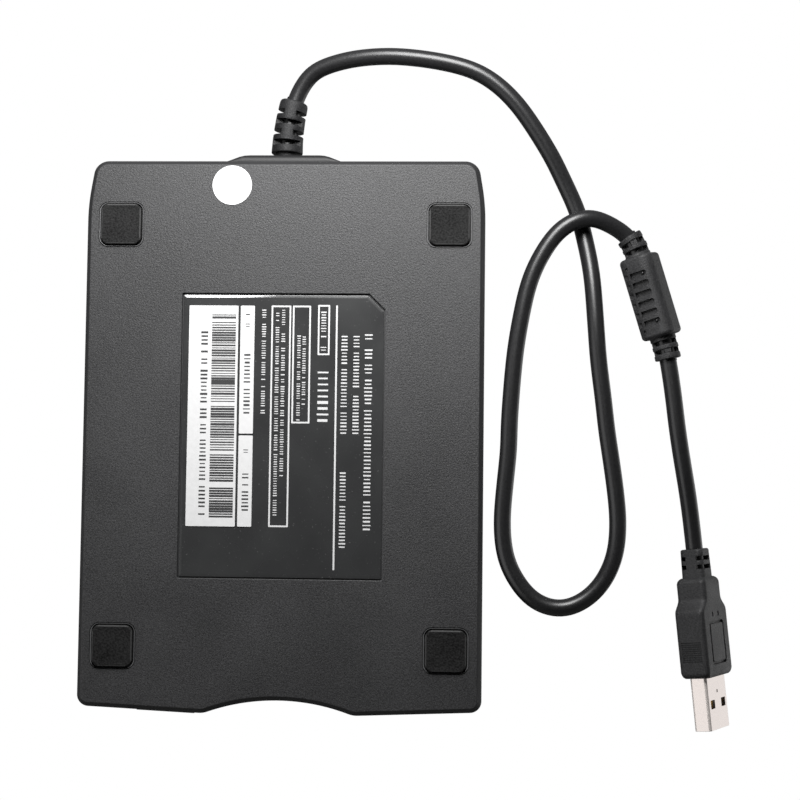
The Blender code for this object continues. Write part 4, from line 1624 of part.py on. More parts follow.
def make_plug():
    """Plug: moulding with its boot, metal shell and insulator."""
    frame = local_frame("plug_frame", PLUG_TIP, PLUG_HEADING_DEG, PLUG_PITCH_DEG, PLUG_ROLL_DEG)
    front = -SHELL_OUT
    root = front - MOULD_LENGTH
    neck_top, neck_full, neck_end, flare = MOULD_NECK_SHARES
    flared, full = MOULD_FLARE_SHARES
    tip, tip_end = MOULD_TIP_SHARES
    thin = MOULD_THICK - MOULD_CORNER
    wider = (MOULD_NECK_WIDTH + MOULD_WIDTH) / 2
    table = [(0.0, MOULD_NECK_WIDTH - 2 * MOULD_CORNER, thin - MOULD_CORNER / 2),
             (neck_top, MOULD_NECK_WIDTH - MOULD_CORNER, thin),
             (neck_full, MOULD_NECK_WIDTH, MOULD_THICK), (neck_end, MOULD_NECK_WIDTH, MOULD_THICK),
             (flare, MOULD_NECK_WIDTH + MOULD_CORNER / 2, MOULD_THICK),
             ((flare + flared) / 2, wider, MOULD_THICK),
             (flared, MOULD_WIDTH - MOULD_CORNER / 2, MOULD_THICK), (full, MOULD_WIDTH, MOULD_THICK),
             (tip, MOULD_WIDTH, MOULD_THICK),
             (tip_end, MOULD_WIDTH - MOULD_CORNER / 2, MOULD_THICK - MOULD_CORNER / 3),
             (1.0, MOULD_WIDTH - 2 * MOULD_CORNER, MOULD_THICK - MOULD_CORNER)]
    rings = [rounded_section(root + MOULD_LENGTH * share, width, thick, MOULD_CORNER) for share, width,
             thick in table]
    mould = piece("plug_overmould", loft(rings), plug_pvc, parent=frame)
    boot_start = root - PLUG_BOOT_LENGTH
    boot_rows = [(boot_start, PLUG_BOOT_TIP), (root + MOULD_CORNER, PLUG_BOOT_ROOT)]
    join(mould, loft([rounded_section(along, side, side, PLUG_BOOT_CORNER) for along, side in boot_rows]))
    cutters = []
    depth = PLUG_BOOT_TIP / 2 - BOOT_SLOT_DEPTH
    for low, high in BOOT_SLOT_SHARES:
        for side in (-1, 1):
            edges = sorted((side * depth, side * (PLUG_BOOT_ROOT / 2 + OVERRUN)))
            cutters.append(box(boot_start + PLUG_BOOT_LENGTH * low, boot_start + PLUG_BOOT_LENGTH * high,
                               *edges,
                               -BOOT_SLOT_HALF, BOOT_SLOT_HALF))
    middle = root + MOULD_LENGTH * GRIP_SHARE
    for i in range(GRIP_COUNT):
        along = middle + (i - (GRIP_COUNT - 1) / 2) * GRIP_PITCH
        for side in (-1, 1):
            edges = sorted((side * (MOULD_WIDTH / 2 - GRIP_DEPTH), side * (MOULD_WIDTH / 2 + OVERRUN)))
            cutters.append(box(along - GRIP_GROOVE / 2, along + GRIP_GROOVE / 2,
                               MOULD_CORNER - MOULD_THICK / 2,
                               MOULD_THICK / 2 - MOULD_CORNER, *edges))
    middle = root + MOULD_LENGTH * FRAME_SHARE
    for side in (-1, 1):
        deep = side * (MOULD_THICK / 2 - FRAME_DEPTH)
        out = side * (MOULD_THICK / 2 + OVERRUN)
        inner = rounded_rectangle(middle, 0.0, FRAME_LENGTH - 2 * FRAME_LINE, FRAME_WIDTH - 2 * FRAME_LINE,
                                  FRAME_LINE)
        outer = rounded_rectangle(middle, 0.0, FRAME_LENGTH, FRAME_WIDTH, 2 * FRAME_LINE)
        cutters.append(loft([[(x, y, z) for x, z in outline] for outline, y in
                             ((inner, deep), (outer, deep), (outer, out), (inner, out))], closed=True))
    pocket = [rounded_section(along, SHELL_WIDTH + 2 * SKIN_GAP, SHELL_THICK + 2 * SKIN_GAP,
                              SHELL_CORNER + SKIN_GAP)
              for along in (front - SHELL_IN - SEAT_GAP, front + OVERRUN)]
    cut(mould, *cutters, loft(pocket))
    inside = 2 * SHELL_WALL
    levels = [(front - SHELL_IN, 0.0), (0.0, 0.0), (0.0, inside),
              (-SHELL_OUT - SHELL_IN + SHELL_WALL, inside)]
    rings = [rounded_section(along, SHELL_WIDTH - less, SHELL_THICK - less, SHELL_CORNER - less / 4)
             for along, less in levels]
    shell = piece("plug_shell", loft(rings), nickel, parent=frame)
    half = SHELL_HOLE_WIDTH / 2
    holes = [box(-SHELL_HOLE_SETBACK - SHELL_HOLE_LENGTH / 2, SHELL_HOLE_LENGTH / 2 - SHELL_HOLE_SETBACK,
                 -SHELL_THICK, SHELL_THICK, side * SHELL_HOLE_SPREAD - half,
                 side * SHELL_HOLE_SPREAD + half)
             for side in (-1, 1)]
    cut(shell, *holes)
    gap = SHELL_WALL + SKIN_GAP
    back = -SHELL_OUT - SHELL_IN + gap
    half_wide = SHELL_WIDTH / 2 - gap
    face = SHELL_THICK / 2 - gap
    step = face - TONGUE_THICK
    profile = [(back, -face), (back + TONGUE_BLOCK, -face), (back + TONGUE_BLOCK, step),
               (-TONGUE_INSET, step),
               (-TONGUE_INSET, face), (back, face)]
    piece("plug_insulator", loft([[(x, y, z) for x, y in profile] for z in (-half_wide, half_wide)]),
          tongue_plastic,
          parent=frame)
    return cord_exit(frame, (boot_start, 0.0, 0.0), (-1, 0.0, 0.0))


make_bottom_cover()
make_top_cover()
make_feet_and_screws()
make_labels()
make_bezel()
make_door()
make_slide_plate()
make_holder()
make_lever()
make_eject_button()
make_slide_springs()
make_spindle()
make_carriage()
make_head_arm()
make_stepper()
make_boards()
make_switches()
make_lamp()
make_chassis()
make_shield()
relief_exit = make_strain_relief()
bead_top_exit, bead_low_exit = make_bead()
plug_exit = make_plug()
make_cord("cord", relief_exit, CORD_TO_BEAD, bead_top_exit)
make_cord("cord_end", bead_low_exit, CORD_TO_PLUG, plug_exit)
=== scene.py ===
# %% [markdown]
# # A slim floppy disk drive, lying in front of the camera with its underside up
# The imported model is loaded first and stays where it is. Every place in this file is in metres, in
# the model's own frame: feet on z = 0, front towards -Y, lead towards +Y. Lengths of small things are
# written as millimetres times MM, because that is how one would read them off a drawing.

import json
import math

import bmesh
import bpy
from mathutils import Euler, Matrix, Vector

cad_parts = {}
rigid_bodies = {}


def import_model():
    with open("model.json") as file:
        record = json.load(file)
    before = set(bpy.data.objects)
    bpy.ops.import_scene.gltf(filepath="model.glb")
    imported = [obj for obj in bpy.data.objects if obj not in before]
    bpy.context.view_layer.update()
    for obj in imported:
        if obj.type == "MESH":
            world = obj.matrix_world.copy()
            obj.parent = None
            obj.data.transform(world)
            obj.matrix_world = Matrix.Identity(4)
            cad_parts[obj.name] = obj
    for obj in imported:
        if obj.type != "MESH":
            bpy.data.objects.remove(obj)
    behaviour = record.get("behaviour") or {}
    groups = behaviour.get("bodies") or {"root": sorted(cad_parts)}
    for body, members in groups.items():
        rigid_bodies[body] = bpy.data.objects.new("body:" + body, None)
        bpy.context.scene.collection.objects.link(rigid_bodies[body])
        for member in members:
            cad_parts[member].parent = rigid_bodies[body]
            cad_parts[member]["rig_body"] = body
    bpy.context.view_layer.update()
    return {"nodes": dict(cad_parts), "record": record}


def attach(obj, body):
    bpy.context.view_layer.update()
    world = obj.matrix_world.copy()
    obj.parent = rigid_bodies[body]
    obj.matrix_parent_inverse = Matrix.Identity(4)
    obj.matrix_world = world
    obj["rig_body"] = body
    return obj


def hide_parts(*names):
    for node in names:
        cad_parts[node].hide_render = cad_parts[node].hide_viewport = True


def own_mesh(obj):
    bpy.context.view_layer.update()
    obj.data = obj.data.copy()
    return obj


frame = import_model()
NODES = frame["nodes"]
MM = 0.001

# %% [markdown]
# ## The camera
# The photograph looks almost straight at the underside, from 0.4 m away with a short telephoto lens.
# A camera is three axes and a place. Written as a matrix they can't drift, as angles could when they
# are rounded.

# %% Camera
CAMERA_PLACE = (-0.05061, -0.01538, -0.39779)
CAMERA_RIGHT = (-0.99869, 0.01151, 0.04978)
CAMERA_UP = (0.00851, 0.99815, -0.06025)
CAMERA_BACK = (-0.05038, -0.05974, -0.99694)
camera_data = bpy.data.cameras.new("underside_view")
camera_data.sensor_width = 36.0
camera_data.lens = 70.07
camera_data.clip_start = 0.01
camera = bpy.data.objects.new("underside_view", camera_data)
bpy.context.scene.collection.objects.link(camera)
camera.matrix_world = Matrix([
    (CAMERA_RIGHT[i], CAMERA_UP[i], CAMERA_BACK[i], CAMERA_PLACE[i]) for i in range(3)] + [(0, 0, 0, 1)])
bpy.context.scene.camera = camera
bpy.context.scene.view_settings.view_transform = 'Standard'
print("camera", round(camera_data.lens, 1), "mm lens at", CAMERA_PLACE)

# %% [markdown]
# ## Helpers for nodes and colours
# Shaders and Geometry Nodes are both trees of nodes, so one function adds a node to either. It sets
# the node's options first, since some of them decide which sockets it has, and then each socket gets a
# number or a link. The short functions after it give what the finishes need most: a sum, a value
# stretched to another range, a colour between two, a noise and a bump. Colours are written as one
# would pick them on a screen and turned to linear light.


# %% Node and colour helpers
def feed(tree, made, inputs):
    """Give each named socket of a node a value or a link."""
    for key, value in inputs.items():
        if isinstance(value, bpy.types.NodeSocket):
            tree.links.new(value, made.inputs[key])
        else:
            made.inputs[key].default_value = value
    return made


def node(tree, kind, inputs=None, **settings):
    """Add a node with its options, and feed its sockets."""
    made = tree.nodes.new(kind)
    for name, value in settings.items():
        setattr(made, name, value)
    return feed(tree, made, inputs or {})


def linear(hex_colour):
    """Turn an sRGB hex colour into the linear values that a shader takes."""
    channels = []
    for start in (1, 3, 5):
        value = int(hex_colour[start:start + 2], 16) / 255
        channels.append(value / 12.92 if value <= 0.04045 else ((value + 0.055) / 1.055) ** 2.4)
    return (*channels, 1.0)


def calc(tree, operation, *values):
    """Work out a number from numbers or sockets."""
    return node(tree, "ShaderNodeMath", dict(enumerate(values)), operation=operation).outputs[0]


def mapped(tree, value, low, high, to_low=0.0, to_high=1.0):
    """Stretch a value from one range to another."""
    return node(tree, "ShaderNodeMapRange", {"Value": value, "From Min": low, "From Max": high,
                                             "To Min": to_low, "To Max": to_high}).outputs[0]


def mixed(tree, share, first, second):
    """A colour between two, each a hex colour or a socket."""
    first, second = (linear(colour) if isinstance(colour, str) else colour for colour in (first, second))
    return node(tree, "ShaderNodeMix", {0: share, 6: first, 7: second}, data_type='RGBA').outputs[2]


def noise(tree, place, size_mm, detail=2.0, roughness=0.5):
    """Noise in patches about size_mm wide."""
    return node(tree, "ShaderNodeTexNoise", {"Vector": place, "Scale": 1 / (size_mm * MM), "Detail": detail,
                                             "Roughness": roughness}).outputs["Fac"]


def bump(tree, height, strength, depth_mm):
    """A bump that follows a noise, up to a depth."""
    return node(tree, "ShaderNodeBump", {"Strength": strength, "Distance": depth_mm * MM,
                                         "Height": height}).outputs[0]


def new_finish(name):
    """Make an empty material and give back it, its tree, its shader and its Object coordinates."""
    finish = bpy.data.materials.new(name)
    finish.use_nodes = True
    tree = finish.node_tree
    print("finish:", name)
    return finish, tree, tree.nodes["Principled BSDF"], node(tree, "ShaderNodeTexCoord").outputs["Object"]


# %% [markdown]
# ## The stage
# A pale floor lies under the feet. The camera of the main view is below it, so its finish looks where
# the camera is: the floor is solid for a camera above it, and isn't there for one below it. It fades
# into the background further out, where the lamps no longer reach it. The background is a plain
# white world for the camera and for rays through clear parts. Mirror rays see a dim room with three
# soft bright cards in it. A wide soft lamp beyond the rear edge gives the underside its long fall from
# light to dark.

# %% Floor, world and lamps
FLOOR_HALF, FLOOR_DROP = 0.9, 0.02 * MM
FADE_FROM, FADE_TO = 0.30, 0.75
floor_mesh = bpy.data.meshes.new("floor")
floor_mesh.from_pydata([(x * FLOOR_HALF, y * FLOOR_HALF, -FLOOR_DROP)
                        for x, y in ((-1, -1), (1, -1), (1, 1), (-1, 1))], [], [(0, 1, 2, 3)])
floor = bpy.data.objects.new("floor", floor_mesh)
bpy.context.scene.collection.objects.link(floor)
floor_finish, tree, shader, place = new_finish("pale matt floor")
feed(tree, shader, {"Base Color": linear("#ececec"), "Roughness": 0.9})
camera_spot = node(tree, "ShaderNodeVectorTransform", {0: (0.0, 0.0, 0.0)}, vector_type='POINT',
                   convert_from='CAMERA', convert_to='WORLD')
camera_height = node(tree, "ShaderNodeSeparateXYZ", {0: camera_spot.outputs[0]}).outputs["Z"]
away = node(tree, "ShaderNodeVectorMath", {0: place}, operation='LENGTH').outputs["Value"]
seen = calc(tree, 'MULTIPLY', calc(tree, 'GREATER_THAN', camera_height, 0.0),
            mapped(tree, away, FADE_FROM, FADE_TO, 1.0, 0.0))
shown = node(tree, "ShaderNodeMixShader", {0: seen, 2: shader.outputs[0],
                                           1: node(tree, "ShaderNodeBsdfTransparent").outputs[0]})
feed(tree, tree.nodes["Material Output"], {"Surface": shown.outputs[0]})
floor_mesh.materials.append(floor_finish)

WORLD_GLOW, POLE_GLOW, SIDE_GLOW = 0.025, 0.015, 0.20
SIDE_HEIGHT, POLE_HEIGHT = 0.25, 0.8
CARDS = [((0.80, -0.23, -0.55), 1.5, 0.88, 0.94), ((-0.83, -0.07, 0.55), 1.3, 0.84, 0.95),
         ((0.0, 0.35, 0.93), 0.30, 0.55, 0.90)]
world = bpy.data.worlds.new("white surround")
world.use_nodes = True
bpy.context.scene.world = world
tree = world.node_tree
rays = node(tree, "ShaderNodeLightPath").outputs
sky = node(tree, "ShaderNodeTexCoord").outputs["Generated"]
steep = calc(tree, 'ABSOLUTE', node(tree, "ShaderNodeSeparateXYZ", {0: sky}).outputs["Z"])
mirror = mapped(tree, steep, SIDE_HEIGHT, POLE_HEIGHT, SIDE_GLOW, POLE_GLOW)
for direction, card_glow, edge, full in CARDS:
    facing = node(tree, "ShaderNodeVectorMath", {0: sky, 1: direction}, operation='DOT_PRODUCT')
    mirror = calc(tree, 'MAXIMUM', mirror, mapped(tree, facing.outputs["Value"], edge, full, 0.0, card_glow))
glow = mapped(tree, rays["Is Glossy Ray"], 0.0, 1.0, WORLD_GLOW, mirror)
clear = calc(tree, 'MAXIMUM', rays["Is Camera Ray"], rays["Is Transmission Ray"])
feed(tree, tree.nodes["Background"], {"Color": (1.0, 1.0, 1.0, 1.0),
                                      "Strength": mapped(tree, clear, 0.0, 1.0, glow, 1.0)})

LAMPS = [("key_below", (-0.012, 0.215, -0.195), (0.0, 0.11, 0.0), 0.16, 0.97, 130.0),
         ("key_above", (0.16, -0.34, 0.42), (0.0, 0.0, 0.0), 0.30, 4.2, 180.0),
         ("fill_above", (-0.34, 0.24, 0.34), (0.0, 0.0, 0.0), 0.40, 1.6, 180.0)]
for name, place, target, size, power, spread_deg in LAMPS:
    lamp_data = bpy.data.lights.new(name, 'AREA')
    lamp_data.size, lamp_data.energy, lamp_data.spread = size, power, math.radians(spread_deg)
    lamp = bpy.data.objects.new(name, lamp_data)
    bpy.context.scene.collection.objects.link(lamp)
    lamp.location = place
    lamp.rotation_euler = (Vector(target) - Vector(place)).to_track_quat('-Z', 'Y').to_euler()
    lamp.visible_camera = False
    lamp.visible_glossy = name == "key_below"
print("lamps:", ", ".join(name for name, *_ in LAMPS))

# %% [markdown]
# ## Helpers for meshes
# Moulded parts are drawn as outlines with rounded corners, which are skinned into solids, and then cut
# by other solids. The cutters flare at their mouths, so every pocket gets the small round edge that a
# mould leaves, and light can run along it. A finished piece stays at the origin with its place in its
# mesh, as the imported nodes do.

# %% Mesh helpers
CASE_SHIFT_Y = -0.728 * MM
CASE_PLACE = Matrix.Translation((0.0, CASE_SHIFT_Y, 0.0))
WIDE_RADIUS = 10.0 * MM


def loft(rings, closed=False):
    """Skin rings of equally many points. Closed joins the last ring to the first."""
    bm = bmesh.new()
    rows = [[bm.verts.new(point) for point in ring] for ring in rings]
    count = len(rows[0])
    for low, high in list(zip(rows, rows[1:])) + ([(rows[-1], rows[0])] if closed else []):
        for i in range(count):
            j = (i + 1) % count
            bm.faces.new((low[i], low[j], high[j], high[i]))
    if not closed:
        bm.faces.new(list(reversed(rows[0])))
        bm.faces.new(rows[-1])
    bmesh.ops.recalc_face_normals(bm, faces=bm.faces)
    return bm


def rounded(points, inset=0.0, step_deg=5.0):
    """Outline through counter-clockwise (x, y, radius) corners, drawn in by an inset."""
    count = len(points)
    outline, moved, turns = [], [], []
    for i in range(count):
        before, here, after = (Vector(points[k % count][:2]) for k in (i - 1, i, i + 1))
        turns.append(math.degrees((here - before).angle(after - here)))
        into, out = (here - before).normalized(), (after - here).normalized()
        sides = Vector((-into.y, into.x)) + Vector((-out.y, out.x))
        turn = into.x * out.y - into.y * out.x
        radius = points[i][2]
        if radius > 0:
            radius = max(radius - inset, radius / 10) if turn > 0 else radius + inset
        moved.append((here + sides * (inset / (sides.length_squared / 2)), radius))
    for i in range(count):
        before, here, after = (moved[k % count][0] for k in (i - 1, i, i + 1))
        radius = moved[i][1]
        if radius <= 0:
            outline.append(tuple(here))
            continue
        into, out = (here - before).normalized(), (after - here).normalized()
        turn = math.atan2(into.x * out.y - into.y * out.x, into.dot(out))
        start = here - into * radius * math.tan(abs(turn) / 2)
        centre = start + Vector((-into.y, into.x)) * math.copysign(radius, turn)
        spoke = start - centre
        fine = step_deg if points[i][2] < WIDE_RADIUS else step_deg / 4
        steps = max(2, math.ceil(turns[i] / fine))
        for step in range(steps + 1):
            angle = turn * step / steps
            outline.append((centre.x + spoke.x * math.cos(angle) - spoke.y * math.sin(angle),
                            centre.y + spoke.x * math.sin(angle) + spoke.y * math.cos(angle)))
    return outline


def corners(x, y, width, depth, radius):
    """The four corners of a rectangle."""
    half, deep = width / 2, depth / 2
    return [(x - half, y - deep, radius), (x + half, y - deep, radius),
            (x + half, y + deep, radius), (x - half, y + deep, radius)]


def rectangle(x, y, width, depth, radius, step_deg=10.0):
    """Outline of a rectangle with round corners."""
    return rounded(corners(x, y, width, depth, radius), step_deg=step_deg)


def prism(outline, low, high):
    """Extrude an outline between two heights."""
    return loft([[(x, y, z) for x, y in outline] for z in (low, high)])


def between(x_low, x_high, y_low, y_high, radius, inset=0.0):
    """Outline of a rectangle between its limits, drawn in by an inset, with round corners."""
    return rectangle((x_low + x_high) / 2, (y_low + y_high) / 2, x_high - x_low - 2 * inset,
                     y_high - y_low - 2 * inset, radius)


def box(*limits):
    """A rectangular block between two limits along X, along Y and along Z."""
    (x_low, x_high), (y_low, y_high), height = (sorted(limits[i:i + 2]) for i in (0, 2, 4))
    return prism([(x_low, y_low), (x_high, y_low), (x_high, y_high), (x_low, y_high)], *height)


def turned(profile, centre, axis, sides, closed=False):
    """Turn (along, radius) pairs about an axis through a centre."""
    order = {"X": (0, 1, 2), "Y": (1, 0, 2), "Z": (2, 0, 1)}[axis]
    rings = []
    for along, radius in profile:
        ring = []
        for i in range(sides):
            angle = 2 * math.pi * i / sides
            point = list(centre)
            for slot, value in zip(order, (along, radius * math.cos(angle), radius * math.sin(angle))):
                point[slot] += value
            ring.append(point)
        rings.append(ring)
    return loft(rings, closed)


def gathered(parts, second=()):
    """Put several meshes into one. Those of the second lot take the piece's second finish."""
    whole = bmesh.new()
    for index, lot in enumerate((parts, second)):
        for part in lot:
            known = len(whole.faces)
            mesh = bpy.data.meshes.new("gathered")
            part.to_mesh(mesh)
            part.free()
            whole.from_mesh(mesh)
            bpy.data.meshes.remove(mesh)
            whole.faces.ensure_lookup_table()
            for face in whole.faces[known:] if index else ():
                face.material_index = index
    return whole


def ball(place, radius, sides):
    """A sphere about a place."""
    bm = bmesh.new()
    bmesh.ops.create_uvsphere(bm, u_segments=sides, v_segments=12, radius=radius)
    bm.transform(Matrix.Translation(place))
    return bm


def as_object(bm, name="work"):
    """Put a mesh in the scene."""
    mesh = bpy.data.meshes.new(name)
    bm.to_mesh(mesh)
    bm.free()
    item = bpy.data.objects.new(name, mesh)
    bpy.context.scene.collection.objects.link(item)
    return item


def settled(item):
    """Give back an object's mesh with its modifiers done, and remove the object."""
    result = bmesh.new()
    result.from_object(item, bpy.context.evaluated_depsgraph_get())
    bpy.data.objects.remove(item)
    return result


def shaped(bm, operation, parts):
    """Cut parts from a mesh, or join them on."""
    item = as_object(bm)
    guide = as_object(gathered(parts), "guide")
    change = item.modifiers.new("shape", 'BOOLEAN')
    change.operation = operation
    change.solver = 'EXACT'
    change.object = guide
    result = settled(item)
    bpy.data.objects.remove(guide)
    return result


def cut(bm, *parts):
    """Take parts that stand apart from each other out of a mesh."""
    return shaped(bm, 'DIFFERENCE', parts)


def join(bm, *parts):
    """Grow a mesh by parts that stand apart from each other."""
    return shaped(bm, 'UNION', parts)


def softened(bm, width, steps=2, angle_deg=38.0):
    """Round the sharp edges of a mesh a little."""
    item = as_object(bm)
    edge = item.modifiers.new("edge", 'BEVEL')
    edge.width = width
    edge.segments = steps
    edge.limit_method = 'ANGLE'
    edge.angle_limit = math.radians(angle_deg)
    return settled(item)


def marked(bm, index, wanted):
    """Give the faces whose centre is wanted another of the piece's finishes."""
    for face in bm.faces:
        if wanted(face.calc_center_median()):
            face.material_index = index
    return bm


def piece(name, bm, finishes, body="case", stands_for=(), place=CASE_PLACE, sharp_deg=35.0):
    """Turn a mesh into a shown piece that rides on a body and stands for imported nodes."""
    bm.transform(place)
    item = as_object(bm, name)
    for finish in finishes if isinstance(finishes, (list, tuple)) else [finishes]:
        item.data.materials.append(finish)
    item.data.shade_smooth()
    item.data.set_sharp_from_angle(angle=math.radians(sharp_deg))
    flat = item.modifiers.new("even shading", 'WEIGHTED_NORMAL')
    flat.keep_sharp = True
    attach(item, body)
    if stands_for:
        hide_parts(*stands_for)
    print(f"{name}: {len(item.data.polygons)} faces")
    return item


def mouth(outline_at, face_z, deep_z, radius, over=1.0 * MM):
    """Cutter for a pocket whose edge is rounded where it meets the face. outline_at takes an inset."""
    away = 1 if deep_z > face_z else -1
    rings = [[(x, y, face_z - away * over) for x, y in outline_at(-radius)]]
    for step in range(5):
        depth = radius * step / 4
        flare = radius - math.sqrt(radius ** 2 - (radius - depth) ** 2)
        rings.append([(x, y, face_z + away * depth) for x, y in outline_at(-flare)])
    rings.append([(x, y, deep_z) for x, y in outline_at(0.0)])
    return loft(rings)


print("mesh helpers ready")

# %% [markdown]
# ## Finish: grained ABS of the covers
# The covers are moulded ABS. The mould's faces were spark eroded, which leaves a fine matt grain that
# glitters a little, while the rounded rim was polished and reads as a smooth band. Its colour is darker
# than the grain's, partly its own and partly painted shade where the edge turns from the light. One
# material does both: a ramp over the height above and below the case's middle says where the grain is.
# The boss at the rear has painted shade too: its colour and specular level are scaled down. The real
# grain is about 0.15 mm. It is drawn at 0.4 mm, because anything finer is lost in the picture.

# %% Grained ABS
UNDER_Z, TOP_Z = 0.9 * MM, 18.4 * MM
PARTING_Z = (UNDER_Z + TOP_Z) / 2
GRAIN_MM, GRAIN_DEPTH_MM, CLOUD_MM = 0.42, 0.10, 26.0
GRAINED_AT = [(0.84, 0.15), (0.87, 0.0), (0.9965, 0.0), (0.9990, 1.0)]
RIM_ROUGHNESS = 0.50
BOSS_FROM_Y, BOSS_TO_Y, BOSS_PAINTED_SHADE = 70.9 * MM, 71.3 * MM, 0.60

cover_abs, tree, shader, place = new_finish("spark grained abs, charcoal")
where = node(tree, "ShaderNodeSeparateXYZ", {0: place}).outputs
from_middle = calc(tree, 'SUBTRACT', where["Z"], PARTING_Z)
share = calc(tree, 'ABSOLUTE', calc(tree, 'MULTIPLY', from_middle, 1 / (TOP_Z - PARTING_Z)))
ramp = node(tree, "ShaderNodeValToRGB", {0: share})
for position, _ in GRAINED_AT[2:]:
    ramp.color_ramp.elements.new(position)
for stop, (position, level) in zip(ramp.color_ramp.elements, GRAINED_AT):
    stop.position, stop.color = position, (level, level, level, 1.0)
grained = ramp.outputs[0]
grain, cloud = noise(tree, place, GRAIN_MM, 3.0, 0.7), noise(tree, place, CLOUD_MM, 4.0)
tone = mixed(tree, mapped(tree, grain, 0.35, 0.65), "#1d1d1e", "#3d3d3e")
# Partly painted shade: the rim and walls take #272728, darker than the grain, for the edge turning from the
# light.
tone = mixed(tree, grained, "#272728", tone)
# Painted shade: from BOSS_FROM_Y on, the boss's colour and specular level drop to 0.6 of their value.
boss_painted_shade = mapped(tree, where["Y"], BOSS_FROM_Y, BOSS_TO_Y, 1.0, BOSS_PAINTED_SHADE)
shade = calc(tree, 'MULTIPLY', mapped(tree, cloud, 0.35, 0.65, 0.86, 1.10), boss_painted_shade)
tone = node(tree, "ShaderNodeVectorMath", {0: tone, "Scale": shade}, operation='SCALE').outputs[0]
gloss = mapped(tree, grained, 0.0, 1.0, RIM_ROUGHNESS, mapped(tree, cloud, 0.35, 0.65, 0.47, 0.53))
feed(tree, shader, {"Base Color": tone, "Roughness": gloss,
                    "Specular IOR Level": calc(tree, 'MULTIPLY', boss_painted_shade, 0.5),
                    "Normal": bump(tree, grain, grained, GRAIN_DEPTH_MM)})
# Painted highlight: a light grey on the ridges round the pockets and on the recess's lip, where their round
# edges catch the light.
lip_painted_highlight, tree, shader, place = new_finish("painted highlight on the lip of the abs, light grey")
feed(tree, shader, {"Base Color": linear("#6a6a6b"), "Roughness": 0.35})

# %% [markdown]
# ## Finishes of the other moulded parts
# Bezel, button and door are black ABS with a finer grain. The feet are moulded rubber, duller and
# darker. Strain relief, bead and plug are soft PVC from a blasted mould, so they are matt with a fine
# tooth. These differ only in their numbers, so one recipe makes them: two noises for tone, one of them
# also for the bump, and a little change in roughness.


# %% Moulded plastics and rubber
def moulded(name, dark, light, grain_mm, roughness, depth_mm, strength=0.5, sheen=0.5):
    """A moulded plastic or rubber with a fine tooth."""
    finish, tree, shader, place = new_finish(name)
    grain, cloud = noise(tree, place, grain_mm, 3.0, 0.6), noise(tree, place, 20 * grain_mm)
    both = calc(tree, 'MULTIPLY_ADD', cloud, 0.3, calc(tree, 'MULTIPLY', grain, 0.7))
    feed(tree, shader, {"Base Color": mixed(tree, mapped(tree, both, 0.35, 0.65), dark, light),
                        "Roughness": mapped(tree, cloud, 0.3, 0.7, roughness - 0.05, roughness + 0.05),
                        "Specular IOR Level": sheen, "Normal": bump(tree, grain, strength, depth_mm)})
    return finish


bezel_abs = moulded("fine grained abs, black", "#1f1f20", "#2c2c2d", 0.30, 0.48, 0.03)
foot_rubber = moulded("moulded rubber, black", "#060606", "#2d2d2d", 0.50, 0.75, 0.18, 1.0, 0.15)
# Painted highlight: a lighter grey for the ring round each pad's rounded edge, where it catches the light.
foot_edge_highlight = moulded("painted highlight on the rubber's edge", "#2c2c2c", "#444444", 0.30, 0.60, 0.04, 0.5, 0.3)
soft_pvc = moulded("blasted soft pvc, black", "#161617", "#3a3a3b", 0.38, 0.50, 0.12, 1.0, 0.32)
# Painted shade: the sleeve takes a darker copy of the same PVC, because it sits close to the lamp.
sleeve_pvc_shaded = moulded("blasted soft pvc, black, with painted shade", "#0c0c0d", "#262627", 0.38, 0.50, 0.12, 1.0, 0.25)
inner_acetal = moulded("smooth acetal, black", "#26272a", "#303236", 0.8, 0.42, 0.01, 0.3)
chip_epoxy = moulded("moulded epoxy, black", "#1a1a1c", "#262628", 0.2, 0.55, 0.02, 0.4)
tongue_plastic = moulded("filled polyester, white", "#dcdcd8", "#ecece8", 0.5, 0.42, 0.01, 0.3)
ribbon_film = moulded("polyester film, white", "#cfcfc8", "#deded8", 2.0, 0.40, 0.01, 0.2)
ceramic = moulded("lapped ceramic, grey", "#55565a", "#65666a", 0.3, 0.22, 0.004, 0.2)

# %% [markdown]
# ## Finish: extruded PVC of the lead
# The sheath comes smooth out of its die, so it has one long soft highlight. It isn't perfect: it waves
# a little over a few millimetres, and takes on dust. A low wide bump breaks the highlight just enough.

# %% Cord sheath
cord_pvc, tree, shader, place = new_finish("extruded soft pvc, black")
dust = noise(tree, place, 0.5)
feed(tree, shader, {"Base Color": mixed(tree, dust, "#151516", "#252526"),
                    "Roughness": mapped(tree, dust, 0.0, 1.0, 0.27, 0.40),
                    "Normal": bump(tree, noise(tree, place, 4.0), 0.3, 0.05)})

# %% [markdown]
# ## The lead
# The lead is modelled before the case, because where it may lie depends on the camera. It is 4.4 mm
# thick and is shown from end to end, in two stretches with the moulded bead between them. Its places
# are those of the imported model. A curve through them that keeps its direction at each place
# (Catmull-Rom), evened out a little, lies as a real lead does. The curve object's own bevel makes it round.

